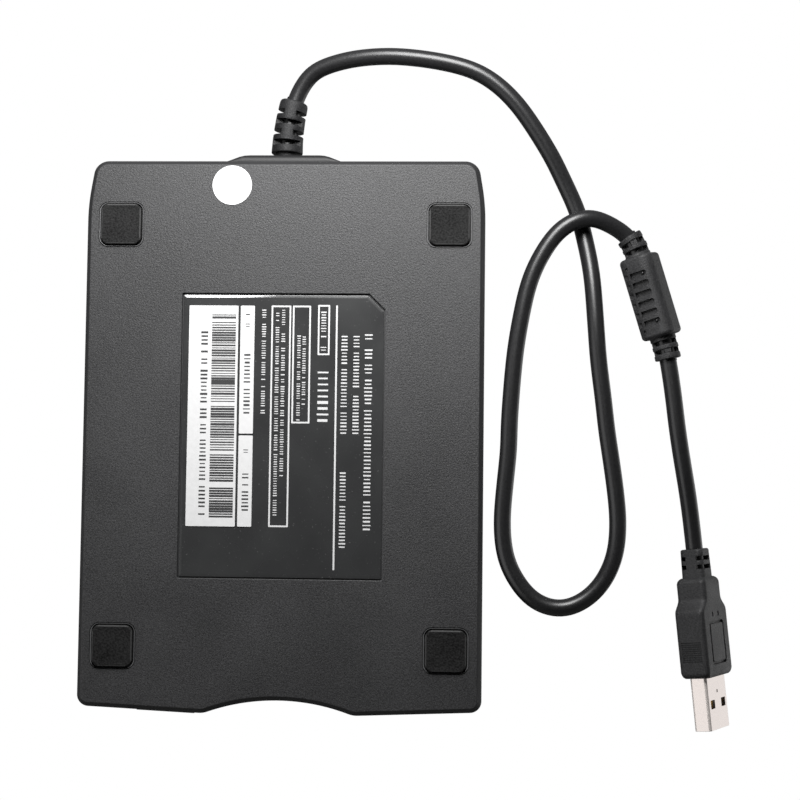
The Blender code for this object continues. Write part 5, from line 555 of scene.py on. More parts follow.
# %% Frames of the strain relief, bead and plug
REAR_Y = 71.5 * MM
FRONT_Y = -71.5 * MM
CORD_X, CORD_Z = 0.8 * MM, PARTING_Z
BOSS_PROUD = 2.3 * MM
CORD_RADIUS = 2.2 * MM
SHEATH_RADIUS, BORE_RADIUS = CORD_RADIUS - 0.02 * MM, CORD_RADIUS + 0.12 * MM
JOIN_GAP = 0.3 * MM
RELIEF_LENGTH, RELIEF_LEAN = 15.1 * MM, 1.8 * MM
BEAD_LENGTH, BEAD_SIDE = 20.8 * MM, 9.2 * MM
BEAD_BOOT, BEAD_TOP_LEAN, BEAD_LOW_LEAN = 5.8 * MM, 0.9 * MM, 0.23 * MM
SHELL_OUT, MOULD_LENGTH, PLUG_BOOT = 13.3 * MM, 25.2 * MM, 7.3 * MM


def local_place(place, heading_deg, pitch_deg=0.0, roll_deg=0.0):
    """Matrix of a frame whose X axis runs along a piece of the lead."""
    angles = [math.radians(angle) for angle in (roll_deg, pitch_deg, heading_deg)]
    return CASE_PLACE @ Matrix.Translation(place) @ Euler(angles).to_matrix().to_4x4()


RELIEF_PLACE = local_place((CORD_X, REAR_Y + BOSS_PROUD, CORD_Z), 90.0)
BEAD_ROLL_DEG = 32.0
BEAD_PLACE = local_place((-0.09476, 0.03716, 0.0060), -106.7, 0.0, BEAD_ROLL_DEG)
BOOT_PLACE = BEAD_PLACE @ Matrix.Rotation(-math.radians(BEAD_ROLL_DEG), 4, "X")
PLUG_PLACE = local_place((-0.11106, -0.07371, 0.0080), -95.59, 1.69, 32.0)
print("relief, bead and plug at", *(tuple(round(v, 4) for v in m.translation) for m in
                                    (RELIEF_PLACE, BEAD_PLACE, PLUG_PLACE)))

# %% The route and the two stretches
TO_BEAD = [(-5.14, 96.02, 8.60), (-10.55, 98.37, 7.20), (-18.64, 99.64, 5.20), (-29.30, 99.50, 3.40),
           (-42.43, 97.35, 2.45), (-51.57, 94.02, 2.40), (-59.86, 86.86, 2.90), (-68.12, 75.03, 4.80),
           (-72.15, 67.51, 6.40), (-75.91, 59.56, 7.50), (-77.74, 52.81, 7.20), (-79.54, 42.32, 4.00),
           (-80.49, 29.77, 2.35), (-81.24, 19.93, 2.25), (-82.50, 10.10, 2.25), (-83.39, 2.09, 2.25),
           (-84.38, -4.37, 2.25), (-85.73, -13.99, 2.25), (-86.34, -22.01, 2.25), (-85.53, -30.04, 2.25),
           (-82.35, -36.99, 2.25), (-77.58, -41.59, 2.25), (-71.75, -43.65, 2.25), (-65.32, -41.77, 2.25),
           (-60.74, -36.77, 2.25), (-57.77, -30.41, 2.25), (-56.88, -21.31, 2.25), (-57.86, -8.91, 2.25),
           (-58.41, -3.28, 2.25), (-58.60, 4.99, 2.25), (-59.70, 19.77, 2.25), (-61.12, 29.65, 2.25),
           (-63.26, 39.58, 2.25), (-66.18, 46.55, 2.25), (-70.56, 53.02, 2.25), (-75.46, 56.32, 2.30),
           (-80.60, 56.85, 3.20)]
TO_PLUG = [(-100.65, 12.00, 5.70), (-101.79, 2.38, 5.60), (-103.16, -6.07, 6.20), (-104.40, -12.69, 7.20),
           (-105.55, -19.68, 8.60)]
INSIDE = 6
SPACING = 1.0 * MM
SMOOTH_PASSES = 12


def leaving(place, tip, heading):
    """Two points straight out of a boot: one inside it, and one just past its tip."""
    ahead = Vector(heading).normalized()
    return [place @ (Vector(tip) + ahead * out) for out in (JOIN_GAP - INSIDE * SPACING, JOIN_GAP)]


def smooth_route(places, steps=10):
    """Evenly spaced points on a smooth curve through places, without its parts inside the boots."""
    coarse = [places[0]]
    for before, start, end, after in zip(places, places[1:], places[2:], places[3:]):
        for k in range(steps):
            t = k / steps
            coarse.append((start * 2 + (end - before) * t
                           + (before * 2 - start * 5 + end * 4 - after) * t * t
                           + (start * 3 - before - end * 3 + after) * t ** 3) / 2)
    coarse += places[-2:]
    run = [0.0]
    for one, two in zip(coarse, coarse[1:]):
        run.append(run[-1] + (two - one).length)
    count = round(run[-1] / SPACING)
    route, at = [], 0
    for i in range(count + 1):
        while at < len(run) - 2 and run[at + 1] < run[-1] * i / count:
            at += 1
        share = (run[-1] * i / count - run[at]) / (run[at + 1] - run[at])
        route.append(coarse[at].lerp(coarse[at + 1], share))
    for _ in range(SMOOTH_PASSES):
        route = route[:1] + [(before + here * 2 + after) / 4 for before, here, after in
                             zip(route, route[1:], route[2:])] + route[-1:]
    return route[INSIDE:-INSIDE]


def stretch(name, start, numbers, end):
    """A round stretch of lead from one boot to another, with its length."""
    route = smooth_route(start + [CASE_PLACE @ (Vector(place) * MM) for place in numbers] + end[::-1])
    curve = bpy.data.curves.new(name, 'CURVE')
    curve.dimensions = '3D'
    curve.bevel_depth = CORD_RADIUS
    curve.bevel_resolution = 7
    curve.use_fill_caps = True
    line = curve.splines.new('POLY')
    line.points.add(len(route) - 1)
    for knot, place in zip(line.points, route):
        knot.co = (*place, 1.0)
    line.use_smooth = True
    item = bpy.data.objects.new(name, curve)
    bpy.context.scene.collection.objects.link(item)
    curve.materials.append(cord_pvc)
    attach(item, "case")
    length = sum((two - one).length for one, two in zip(route, route[1:]))
    print(f"{name}: {length:.4f} m in {len(route)} points")
    return item, route[0], length


BOOT_TIP = BEAD_LENGTH / 2 + BEAD_BOOT
relief_exit = leaving(RELIEF_PLACE, (RELIEF_LENGTH, RELIEF_LEAN, 0.0), (RELIEF_LENGTH, 2 * RELIEF_LEAN, 0.0))
bead_top = leaving(BOOT_PLACE, (-BOOT_TIP, BEAD_TOP_LEAN, 0.0), (-BEAD_BOOT, 2 * BEAD_TOP_LEAN, 0.0))
bead_low = leaving(BOOT_PLACE, (BOOT_TIP, BEAD_LOW_LEAN, 0.0), (BEAD_BOOT, 2 * BEAD_LOW_LEAN, 0.0))
plug_exit = leaving(PLUG_PLACE, (-SHELL_OUT - MOULD_LENGTH - PLUG_BOOT, 0.0, 0.0), (-1.0, 0.0, 0.0))
lead_to_bead, lead_start, lead_length = stretch("lead_to_bead", relief_exit, TO_BEAD, bead_top)
lead_to_plug, tail_start, tail_length = stretch("lead_to_plug", bead_low, TO_PLUG, plug_exit)
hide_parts("cord")
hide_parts("cord_end")

# %% [markdown]
# ## The case's outline
# Seen from below, the case is nearly a rectangle: its rear corners draw in over the last centimetre,
# its front edge sweeps back by two degrees, and a wide shallow notch in its middle lets a finger and
# thumb reach the disk. Both covers are skinned from this one outline, so they meet all the way round.

# %% Outline and levels
CASE_HALF = 52.0 * MM
CASE_WALL = 1.8 * MM
EDGE_ROUND, TOP_ROUND = 1.25 * MM, 1.3 * MM
SEAT_GAP = 0.3 * MM
FLOOR_Z = 2.6 * MM
ROOF_Z = 16.7 * MM
CHASSIS_Z = 5.6 * MM
NOTCH_HALF = 19.3 * MM
BEZEL_BACK_Y = -65.85 * MM
SWEEP = math.tan(math.radians(2.5))
OUTLINE_HALF = [(NOTCH_HALF, FRONT_Y, 6.0 * MM),
                (CASE_HALF, FRONT_Y + (CASE_HALF - NOTCH_HALF) * SWEEP, 3.0 * MM),
                (CASE_HALF, REAR_Y - 11.35 * MM, 55.0 * MM), (CASE_HALF - 1.9 * MM, REAR_Y, 4.0 * MM)]
CASE_CORNERS = [(0.0, FRONT_Y + NOTCH_HALF * math.tan(math.radians(19.0)), 54.0 * MM)] + OUTLINE_HALF + [
    (-x, y, radius) for x, y, radius in reversed(OUTLINE_HALF)]


def case_shell(levels):
    """Skin the case's outline through (inset, height) levels, outside first and inside last."""
    return loft([[(x, y, z) for x, y in rounded(CASE_CORNERS, inset)] for inset, z in levels])


def bevelled_edge(width, height, direction):
    """Levels of an edge that slopes at 45 degrees, with a small round at each end."""
    return [(width * inset, height + direction * width * drop) for inset, drop in
            ((1.08, 0.0), (0.96, 0.015), (0.86, 0.08), (0.18, 0.76), (0.05, 0.93), (0.0, 1.12))]


print("outline of", len(rounded(CASE_CORNERS)), "points")

# %% [markdown]
# ## Bottom cover
# This is the side that faces the camera. Four square pockets hold the feet, a shallow recess with one
# cut corner holds the label, and half of the rear boss grips the lead. Four bosses inside take the
# screws.

# %% Bottom cover
FOOT_PLACES = [(f"{end}_{side}", (1 if side == "right" else -1) * (CASE_HALF - 9.2 * MM),
                (1 if end == "rear" else -1) * (REAR_Y - 16.95 * MM))
               for end in ("rear", "front") for side in ("right", "left")]
POCKET_SIZE, POCKET_ROUND, POCKET_Z = 11.10 * MM, 2.1 * MM, 1.8 * MM
LIP_ROUND = 0.16 * MM
GROOVE_OUT, GROOVE_IN, GROOVE_DEEP = 11.95 * MM, 11.50 * MM, 0.45 * MM
LABEL_HALF, LABEL_DEEP, LABEL_Y, LABEL_CUT = 26.4 * MM, 36.8 * MM, -0.2 * MM, 4.1 * MM
RECESS_Z = 1.6 * MM
BEZEL_HALF = 48.0 * MM - 0.35 * MM
HOLE_RADIUS = 3.45 * MM
BOSS_X, BOSS_HALF, BOSS_FLAT = 0.9 * MM, 16.6 * MM, 10.2 * MM
BOSS_HEIGHT, BOSS_SLOPE = 5.6 * MM, 1.7 * MM
POST_RADIUS, HEAD_RADIUS, SCREW_RADIUS, HEAD_Z = 3.75 * MM, 2.6 * MM, 1.5 * MM, 3.6 * MM


def boss_block(low, high, slope_low, slope_high):
    """The rear boss between two heights, its far end rounded off by the slopes."""
    root, top, foot = REAR_Y - CASE_WALL / 2, REAR_Y + BOSS_PROUD, REAR_Y - 0.2 * MM
    levels = []
    for slope, end, up in ((slope_low, low, 1), (slope_high, high, -1)):
        for angle in (range(0, 91, 15) if slope else (90,))[::up]:
            drop = 1 - math.cos(math.radians(angle)) if slope else 0.0
            levels.append((slope * (1 - math.sin(math.radians(angle))), end + up * slope * drop))
    plan = rounded([(BOSS_X - BOSS_HALF - 1.5 * MM, root, 0.0), (BOSS_X + BOSS_HALF + 1.5 * MM, root, 0.0),
                    (BOSS_X + BOSS_HALF, foot, 0.0), (BOSS_X + BOSS_FLAT, top, 9.0 * MM),
                    (BOSS_X - BOSS_FLAT, top, 9.0 * MM), (BOSS_X - BOSS_HALF, foot, 0.0)])
    return loft([[(x, min(y, top - draw_in) if y > REAR_Y - 0.1 * MM else y, z) for x, y in plan]
                 for draw_in, z in levels])


def cord_hole():
    """Cutter for the hole in the boss, flared at its mouth."""
    end = REAR_Y + BOSS_PROUD
    return turned([(REAR_Y - 4.0 * MM, HOLE_RADIUS), (end - 0.3 * MM, HOLE_RADIUS),
                   (end - 0.1 * MM, HOLE_RADIUS + 0.08 * MM), (end, HOLE_RADIUS + 0.3 * MM),
                   (end + 1.0 * MM, HOLE_RADIUS + 0.3 * MM)], (CORD_X, 0.0, CORD_Z), "Y", 48)


def front_opening(low, high):
    """Cutter for the gap in the front wall that the bezel fills."""
    half = BEZEL_HALF + SEAT_GAP
    return box(-half, half, FRONT_Y - 1.0 * MM, BEZEL_BACK_Y + 1.0 * MM, low, high)


def label_corners(margin):
    """Corners of the label or its recess, one of them cut off."""
    half, deep = LABEL_HALF - margin, LABEL_DEEP - margin
    return [(-half, LABEL_Y - deep, 0.3 * MM), (half, LABEL_Y - deep, 0.3 * MM),
            (half, LABEL_Y + deep, 0.3 * MM), (-half + LABEL_CUT, LABEL_Y + deep, 0.3 * MM),
            (-half, LABEL_Y + deep - LABEL_CUT, 0.3 * MM)]


def rim_edge(rim, up, floor):
    """Levels of a wall's end, its outer edge rounded, and of the floor behind it."""
    return [(0.0, rim - up * 0.2 * MM), (0.06 * MM, rim - up * 0.06 * MM), (0.2 * MM, rim),
            (CASE_WALL, rim), (CASE_WALL, floor)]


tray = case_shell(bevelled_edge(EDGE_ROUND, UNDER_Z, 1) + rim_edge(PARTING_Z - SEAT_GAP / 2, 1, FLOOR_Z))
posts = [turned([(FLOOR_Z - 0.8 * MM, POST_RADIUS), (CHASSIS_Z - SEAT_GAP, POST_RADIUS)], (x, y, 0.0), "Z", 32)
         for _, x, y in FOOT_PLACES]
tray = join(tray, *posts, boss_block(CORD_Z - BOSS_HEIGHT, CORD_Z - SEAT_GAP / 2, BOSS_SLOPE, 0.0))
pockets = [mouth(lambda inset, x=x, y=y: rounded(
    corners(x, y, POCKET_SIZE, POCKET_SIZE, POCKET_ROUND), inset), UNDER_Z, POCKET_Z, LIP_ROUND)
           for _, x, y in FOOT_PLACES]
recess = mouth(lambda inset: rounded(label_corners(0.0), inset, 15.0), UNDER_Z, RECESS_Z, 0.18 * MM)
tray = cut(tray, *pockets, recess)
grooves = []
for _, x, y in FOOT_PLACES:
    levels = [(GROOVE_IN, 2.3 * MM, -1.0 * MM), (GROOVE_OUT, 2.5 * MM, -1.0 * MM),
              (GROOVE_OUT, 2.5 * MM, GROOVE_DEEP), (GROOVE_IN, 2.3 * MM, GROOVE_DEEP)]
    grooves.append(loft([[(px, py, UNDER_Z + deep) for px, py in rounded(corners(x, y, side, side, radius))]
                         for side, radius, deep in levels], closed=True))
tray = cut(tray, *grooves)
bores = [turned([(UNDER_Z, HEAD_RADIUS), (HEAD_Z, HEAD_RADIUS), (HEAD_Z, SCREW_RADIUS),
                 (CHASSIS_Z, SCREW_RADIUS)], (x, y, 0.0), "Z", 24) for _, x, y in FOOT_PLACES]
tray = cut(tray, *bores, cord_hole(), front_opening(FLOOR_Z + 1.0 * MM, PARTING_Z + 1.0 * MM))


def on_highlighted_lip(centre):
    """Whether a face lies on the ridge round a foot's pocket, or on the recess's lip towards -X; these take a
    painted highlight.
    """
    near_pocket = centre.z < UNDER_Z + LIP_ROUND * 0.95 and any(
        max(abs(centre.x - x), abs(centre.y - y)) < GROOVE_IN / 2 + 0.02 * MM for _, x, y in FOOT_PLACES)
    near_recess = (UNDER_Z + 0.04 * MM < centre.z < UNDER_Z + 0.17 * MM
                   and abs(centre.y) < LABEL_DEEP + MM and -LABEL_HALF - MM < centre.x < -15.0 * MM)
    return near_pocket or near_recess


# The ridges and the lip take the painted highlight.
tray = marked(tray, 1, on_highlighted_lip)
piece("bottom_cover_moulding", tray, [cover_abs, lip_painted_highlight],
      stands_for=["bottom_cover"])

# %% [markdown]
# ## Top cover
# The lid is the same outline with a larger round at its edge. Two clip tabs a side reach down behind
# the tray's wall and hold the halves together.

# %% Top cover
rim = PARTING_Z + SEAT_GAP / 2
lid = case_shell(bevelled_edge(TOP_ROUND, TOP_Z, -1) + rim_edge(rim, -1, ROOF_Z))
CLIP_Y, CLIP_HALF, CLIP_DEEP, CLIP_TOP = 30.0 * MM, 4.0 * MM, 3.0 * MM, 2.6 * MM
CLIP_IN, CLIP_THICK = CASE_HALF - CASE_WALL - SEAT_GAP - 0.3 * MM, 0.3 * MM
tabs = []
for side in (-1, 1):
    for y in (-CLIP_Y, CLIP_Y):
        tab, root = (box(side * CLIP_IN, side * out, y - CLIP_HALF, y + CLIP_HALF, low, rim + CLIP_TOP)
                     for out, low in ((CLIP_IN + CLIP_THICK, rim - CLIP_DEEP),
                                      (CASE_HALF - CASE_WALL * 0.75, rim + SEAT_GAP)))
        tabs.append(join(tab, root))
lid = join(lid, boss_block(CORD_Z + SEAT_GAP / 2, CORD_Z + BOSS_HEIGHT, 0.0, BOSS_SLOPE), *tabs)
lid = cut(lid, cord_hole(), front_opening(PARTING_Z - 1.0 * MM, ROOF_Z - 0.3 * MM))
piece("top_cover_moulding", lid, cover_abs, stands_for=["top_cover"])

# %% [markdown]
# ## Feet
# Each foot is a pad of moulded rubber, pressed into its pocket over a screw. Its edge is rounded, and
# its face dips slightly, as rubber does when it shrinks in the mould.

# %% Feet
PAD_SIDE, PAD_ROUND = 10.55 * MM, 2.0 * MM
PAD_EDGE = [(1.4, 0.09), (1.0, 0.05), (0.60, 0.0), (0.38, 0.0), (0.20, 0.04), (0.09, 0.13), (0.02, 0.26),
            (0.0, 0.45), (0.0, 1.5)]
for name, x, y in FOOT_PLACES:
    rings = [[(px, py, z * MM) for px, py in
              rounded(corners(x, y, PAD_SIDE, PAD_SIDE, PAD_ROUND), inset * MM)] for inset, z in PAD_EDGE]
    # The ring round the pad's edge takes the painted highlight.
    pad = marked(loft(rings), 1, lambda centre: 0.01 * MM < centre.z < 0.22 * MM
                 and max(abs(centre.x - x), abs(centre.y - y)) > PAD_SIDE / 2 - 0.35 * MM)
    piece(f"foot_{name}_pad", pad, [foot_rubber, foot_edge_highlight], stands_for=[f"foot_{name}"])

# %% [markdown]
# ## Label and stickers
# The label is a satin black film in the recess, printed in white: thin frames, a rule, and rows that
# stand where words would be. Those rows are plain strokes, because the part carries no words. Its rear
# edge turns down into the corner of the recess, and there it carries a painted highlight: a bright line
# that fades along X.
# The bars of the sticker repeat by a rule with chance in it, so Geometry Nodes set them out.

# %% Label, paper and ink finishes
FILM_HIGHLIGHT_FROM_X, FILM_HIGHLIGHT_FULL_X = 7.0 * MM, 19.0 * MM
label_film, tree, shader, place = new_finish("satin polyester film, black")
haze, speck = noise(tree, place, 14.0, 3.0), noise(tree, place, 0.45)
tone = mixed(tree, mapped(tree, speck, 0.70, 0.78), mixed(tree, haze, "#2d2d2e", "#393a3a"), "#6c6c6c")
feed(tree, shader, {"Base Color": tone, "Roughness": mapped(tree, haze, 0.3, 0.7, 0.24, 0.32)})
# Painted highlight: along the film's turned rear edge, a grey that brightens to near white across X.
film_edge_highlight, tree, shader, place = new_finish("painted highlight on the film's bent edge")
across = node(tree, "ShaderNodeSeparateXYZ", {0: place}).outputs["X"]
tone = mixed(tree, mapped(tree, across, FILM_HIGHLIGHT_FROM_X, FILM_HIGHLIGHT_FULL_X), "#2c2c2d", "#dadada")
feed(tree, shader, {"Base Color": tone, "Roughness": 0.22, "Specular IOR Level": 1.0})


def mottled(name, dark, light, size_mm, roughness, sway=0.0, detail=3.0, bite=0.2, metallic=0.0):
    """One colour with a faint mottle, in which the roughness may sway: paper, ink or metal."""
    finish, tree, shader, place = new_finish(name)
    mottle = noise(tree, place, size_mm, detail)
    feed(tree, shader, {"Base Color": mixed(tree, mottle, dark, light), "Metallic": metallic,
                        "Roughness": mapped(tree, mottle, 0.3, 0.7, roughness - sway, roughness + sway),
                        "Normal": bump(tree, mottle, bite, 0.01)})
    return finish


sticker_paper = mottled("coated paper, white", "#d6d6d6", "#e6e6e6", 1.2, 0.5)
round_paper = mottled("coated paper, bright white", "#ececec", "#f7f7f7", 1.2, 0.5)
white_ink = mottled("screen ink, white", "#cfcfcf", "#e4e4e4", 0.4, 0.45)
black_ink = mottled("thermal ink, black", "#29292a", "#3a3a3b", 0.3, 0.5)

# %% Label and sticker sheets
LABEL_Z = 1.2 * MM
EDGE_TURN = 0.72 * MM
sheet_corners = label_corners(0.4 * MM)
sheet_corners[3:3] = [(x * MM, sheet_corners[2][1], 0.0) for x in range(22, -22, -2)]
sheet_rings = []
for inset, share in ((1.0, 0.0), (0.88, 0.06), (0.1, 1.0), (0.0, 1.5)):
    ring = []
    for x, y in rounded(sheet_corners, inset * EDGE_TURN, 15.0):
        near_rear = max(0.0, min(1.0, (y - (LABEL_Y + LABEL_DEEP) + 1.6 * MM) / (0.3 * MM)))
        twist = max(0.3, min(1.0, (x + 2.0 * MM) / (14.0 * MM)))
        ring.append((x, y, LABEL_Z + 0.14 * MM * share * (0.2 + 0.8 * near_rear * twist)))
    sheet_rings.append(ring)
sheet_rings.append([(x, y, RECESS_Z) for x, y in rounded(sheet_corners, 0.0, 15.0)])
# Faces of the turned rear edge take the painted highlight.
film = marked(loft(sheet_rings), 1, lambda centre: centre.y > LABEL_Y + LABEL_DEEP - 1.2 * MM
              and LABEL_Z < centre.z < LABEL_Z + 0.3 * MM and centre.x > 2.0 * MM)
piece("rating_label_film", film, [label_film, film_edge_highlight], stands_for=["rating_label"],
      sharp_deg=50.0)
STICKER_LOW, STICKER_HIGH = 1.0 * MM, 1.2 * MM
STICKERS = [("sticker_barcode", 11.7, 24.5, -23.7, 33.4), ("sticker_upper", 7.45, 11.1, 0.25, 33.4),
            ("sticker_lower", 7.45, 11.1, -23.7, -0.25)]
for name, *limits in STICKERS:
    outline = between(*(limit * MM for limit in limits), 0.25 * MM)
    piece(f"{name}_paper", prism(outline, STICKER_LOW, STICKER_HIGH), sticker_paper,
          stands_for=[name])
piece("sticker_round_paper", turned([(0.76 * MM, 5.10 * MM), (0.78 * MM, 5.15 * MM), (UNDER_Z, 5.15 * MM)],
                                    (13.9 * MM, REAR_Y - 6.6 * MM, 0.0), "Z", 72),
      round_paper, stands_for=["sticker_round"])


# %% A Geometry Nodes tree that prints a row of strokes
def geometry_tree(name, sockets):
    """A Geometry Nodes tree with named inputs, a finish among them, and its input node's outputs."""
    tree = bpy.data.node_groups.new(name, 'GeometryNodeTree')
    for label, kind, value in sockets:
        tree.interface.new_socket(label, in_out='INPUT', socket_type=f"NodeSocket{kind}").default_value = value
    tree.interface.new_socket("Finish", in_out='INPUT', socket_type='NodeSocketMaterial')
    tree.interface.new_socket("Geometry", in_out='OUTPUT', socket_type='NodeSocketGeometry')
    return tree, node(tree, "NodeGroupInput").outputs


def ended(tree, geometry, finish):
    """End a tree: real faces, with their finish."""
    solid = node(tree, "GeometryNodeRealizeInstances", {0: geometry})
    done = node(tree, "GeometryNodeSetMaterial", {0: solid.outputs[0], "Material": finish})
    node(tree, "NodeGroupOutput", {0: done.outputs[0]})


def made_by(tree, values):
    """Run a Geometry Nodes tree with its named inputs and give back the plain mesh."""
    item = as_object(bmesh.new(), "seed")
    maker = item.modifiers.new("maker", 'NODES')
    maker.node_group = tree
    for socket in tree.interface.items_tree:
        if socket.in_out == 'INPUT' and socket.name in values:
            maker[socket.identifier] = values[socket.name]
    item.update_tag()
    return settled(item)


def chance(tree, low, high, seed):
    """A number for each place in a row, by chance between two."""
    return node(tree, "FunctionNodeRandomValue", {2: low, 3: high, "Seed": seed}, data_type='FLOAT').outputs[1]


STROKES, given = geometry_tree("row of strokes", (
    ("Count", "Int", 40), ("Pitch", "Float", 1.0 * MM), ("Shortest", "Float", 0.2), ("Longest", "Float", 0.9),
    ("Width", "Float", 1.0 * MM), ("Thickness", "Float", 0.01 * MM), ("Kept", "Float", 0.9),
    ("Seed", "Int", 1), ("Evenness", "Float", 1.0), ("Start", "Vector", (0.0, 0.0, 0.0))))
offset = node(STROKES, "ShaderNodeCombineXYZ", {"Y": given["Pitch"]})
row = node(STROKES, "GeometryNodeMeshLine", {"Count": given["Count"], "Start Location": given["Start"],
                                             "Offset": offset.outputs[0]}, mode='OFFSET')
keep = node(STROKES, "FunctionNodeRandomValue", {"Probability": given["Kept"], "Seed": given["Seed"]},
            data_type='BOOLEAN')
along = chance(STROKES, given["Shortest"], given["Longest"], given["Seed"])
across = chance(STROKES, given["Evenness"], 1.0, 5)
size = node(STROKES, "ShaderNodeCombineXYZ", {"X": calc(STROKES, 'MULTIPLY', across, given["Width"]),
                                              "Y": calc(STROKES, 'MULTIPLY', along, given["Pitch"]),
                                              "Z": given["Thickness"]})
stroke = node(STROKES, "GeometryNodeMeshCube", {"Size": (1.0, 1.0, 1.0)})
placed = node(STROKES, "GeometryNodeInstanceOnPoints", {
    "Points": row.outputs[0], "Instance": stroke.outputs[0], "Selection": keep.outputs[3],
    "Scale": size.outputs[0]})
ended(STROKES, placed.outputs[0], given["Finish"])
INK = 0.012 * MM
bars = made_by(STROKES, {"Count": 80, "Pitch": 0.66 * MM, "Shortest": 0.30, "Longest": 1.0, "Width": 6.2 * MM,
                         "Thickness": 2 * INK, "Kept": 0.9, "Seed": 11,
                         "Start": (15.4 * MM, -21.2 * MM, STICKER_LOW)})


def tick_row(x, y_high, y_low, height, pitch, seed, level, longest=0.50, kept=0.86, evenness=0.72):
    """A row of ticks along Y that stands where words would be."""
    count = round((y_high - y_low) / pitch)
    return made_by(STROKES, {"Count": count, "Pitch": pitch * MM, "Shortest": longest / 2, "Longest": longest,
                             "Width": height * MM, "Thickness": 2 * INK, "Kept": kept, "Seed": seed,
                             "Evenness": evenness, "Start": (x * MM, y_low * MM, level)})


sticker_rows = [tick_row(20.4, 27.6, -20.6, 1.9, 1.0, 5, STICKER_LOW, 0.56),
                tick_row(9.2, 31.5, 28.0, 1.2, 0.62, 8, STICKER_LOW),
                tick_row(9.2, 22.0, 5.6, 1.8, 1.0, 9, STICKER_LOW, 0.56),
                tick_row(9.2, -2.0, -4.6, 1.2, 0.62, 8, STICKER_LOW),
                tick_row(9.2, -9.6, -19.4, 1.9, 0.92, 14, STICKER_LOW)]
piece("sticker_bars", gathered([bars] + sticker_rows), black_ink)

# %% [markdown]
# ## Printing on the label
# The frames and the rule are flat strips a hundredth of a millimetre thick. Each row of strokes is as
# wide as small print is tall, about 0.6 mm, and the row's own seed keeps it the same on every run.

# %% Frames, rule and rows
LINE = 0.42 * MM
prints = []


def frame_strip(limits):
    """A rectangular frame of thin line."""
    outer, inner = between(*limits, 0.15 * MM), between(*limits, 0.05 * MM, LINE)
    return loft([[(x, y, LABEL_Z + up * INK) for x, y in ring]
                 for ring, up in ((inner, -1), (outer, -1), (outer, 1), (inner, 1))], closed=True)


FRAMES = [(-2.0, 3.1, -23.7, 33.5), (-7.15, -2.45, 3.0, 33.5), (-12.1, -9.0, 20.7, 33.7)]
prints += [frame_strip([limit * MM for limit in limits]) for limits in FRAMES]
prints.append(box(-14.1 * MM, -13.65 * MM, -34.5 * MM, 33.6 * MM, LABEL_Z - INK, LABEL_Z + INK))
ROWS = [(5.0, 33.0, 5.0, 1.15, 0.62), (1.5, 32.6, -20.6, 1.05, 0.62), (-0.05, 32.6, -10.5, 1.05, 0.62),
        (-4.15, 26.0, 3.9, 1.0, 0.62), (-5.5, 26.0, 8.0, 1.0, 0.62), (-10.5, 32.4, 22.0, 1.5, 0.70),
        (-15.95, 26.6, 0.6, 1.75, 0.86), (-15.95, -9.2, -28.6, 1.75, 0.86), (-19.05, 26.6, 0.6, 1.75, 0.86),
        (-22.2, 26.6, -24.0, 2.1, 0.98), (-10.5, 18.6, 3.8, 3.0, 1.55)]
for number, (x, y_high, y_low, height, pitch) in enumerate(ROWS):
    prints.append(tick_row(x, y_high, y_low, height, pitch, number + 3, LABEL_Z))
piece("rating_label_print", gathered(prints), white_ink)

# %% [markdown]
# ## Front bezel, button and light
# The front panel stands between the covers. The disk slot, the eject button and a small light are
# all that it has. Its edges are softened by a bevel.

# %% Bezel, door and button


def packed(name):
    """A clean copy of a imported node's mesh: its triangles are merged back into flat faces."""
    bm = bmesh.new()
    bm.from_mesh(NODES[name].data)
    bmesh.ops.remove_doubles(bm, verts=bm.verts, dist=0.001 * MM)
    bmesh.ops.dissolve_limit(bm, angle_limit=math.radians(1.0), verts=bm.verts, edges=bm.edges)
    return bm


IN_PLACE = Matrix.Identity(4)
piece("front_bezel_panel", softened(packed("front_bezel"), 0.18 * MM), bezel_abs,
      stands_for=["front_bezel"], place=IN_PLACE)
button = packed("eject_button")
BUTTON_PROUD = 0.55 * MM
face_y = min(vertex.co.y for vertex in button.verts)
for vertex in button.verts:
    if vertex.co.y < face_y + 0.05 * MM:
        vertex.co.y = FRONT_Y + (vertex.co.x - NOTCH_HALF) * SWEEP - BUTTON_PROUD + CASE_SHIFT_Y
piece("eject_button_cap", softened(button, 0.30 * MM, 3), bezel_abs,
      body=NODES["eject_button"]["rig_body"], stands_for=["eject_button"], place=IN_PLACE)

# %% [markdown]
# ## Strain relief
# The sleeve that holds the lead is moulded PVC with windows front and back and notches at its sides, so
# that it bends without kinking. The sheath inside shines through the windows. The sleeve is skinned
# along a slightly bent line, and the windows are cut square to that line.


# %% Strain relief
def boot_place(base, direction, length, lean, share):
    """Centre and sideways direction of a bent boot at a share of its length."""
    slope = 2 * lean * share / length
    size = math.hypot(1, slope)
    return (base + direction * length * share, lean * share * share), (-slope * direction / size, 1 / size)


def boot_rings(base, direction, length, lean, stations, sides=48):
    """Rings of a bent round boot through (share, radius) stations."""
    rings = []
    for share, radius in stations:
        (along, across), (side_x, side_y) = boot_place(base, direction, length, lean, share)
        rings.append([(along + side_x * radius * math.cos(2 * math.pi * i / sides),
                       across + side_y * radius * math.cos(2 * math.pi * i / sides),
                       radius * math.sin(2 * math.pi * i / sides)) for i in range(sides)])
    return rings


def boot_block(base, direction, length, lean, shares, low, high, z_low, z_high):
    """Cutter between two shares of a bent boot's length."""
    rings = []
    for share in shares:
        (along, across), (side_x, side_y) = boot_place(base, direction, length, lean, share)
        rings.append([(along + side_x * a, across + side_y * a, z)
                      for a, z in ((low, z_low), (high, z_low), (high, z_high), (low, z_high))])
    return loft(rings)


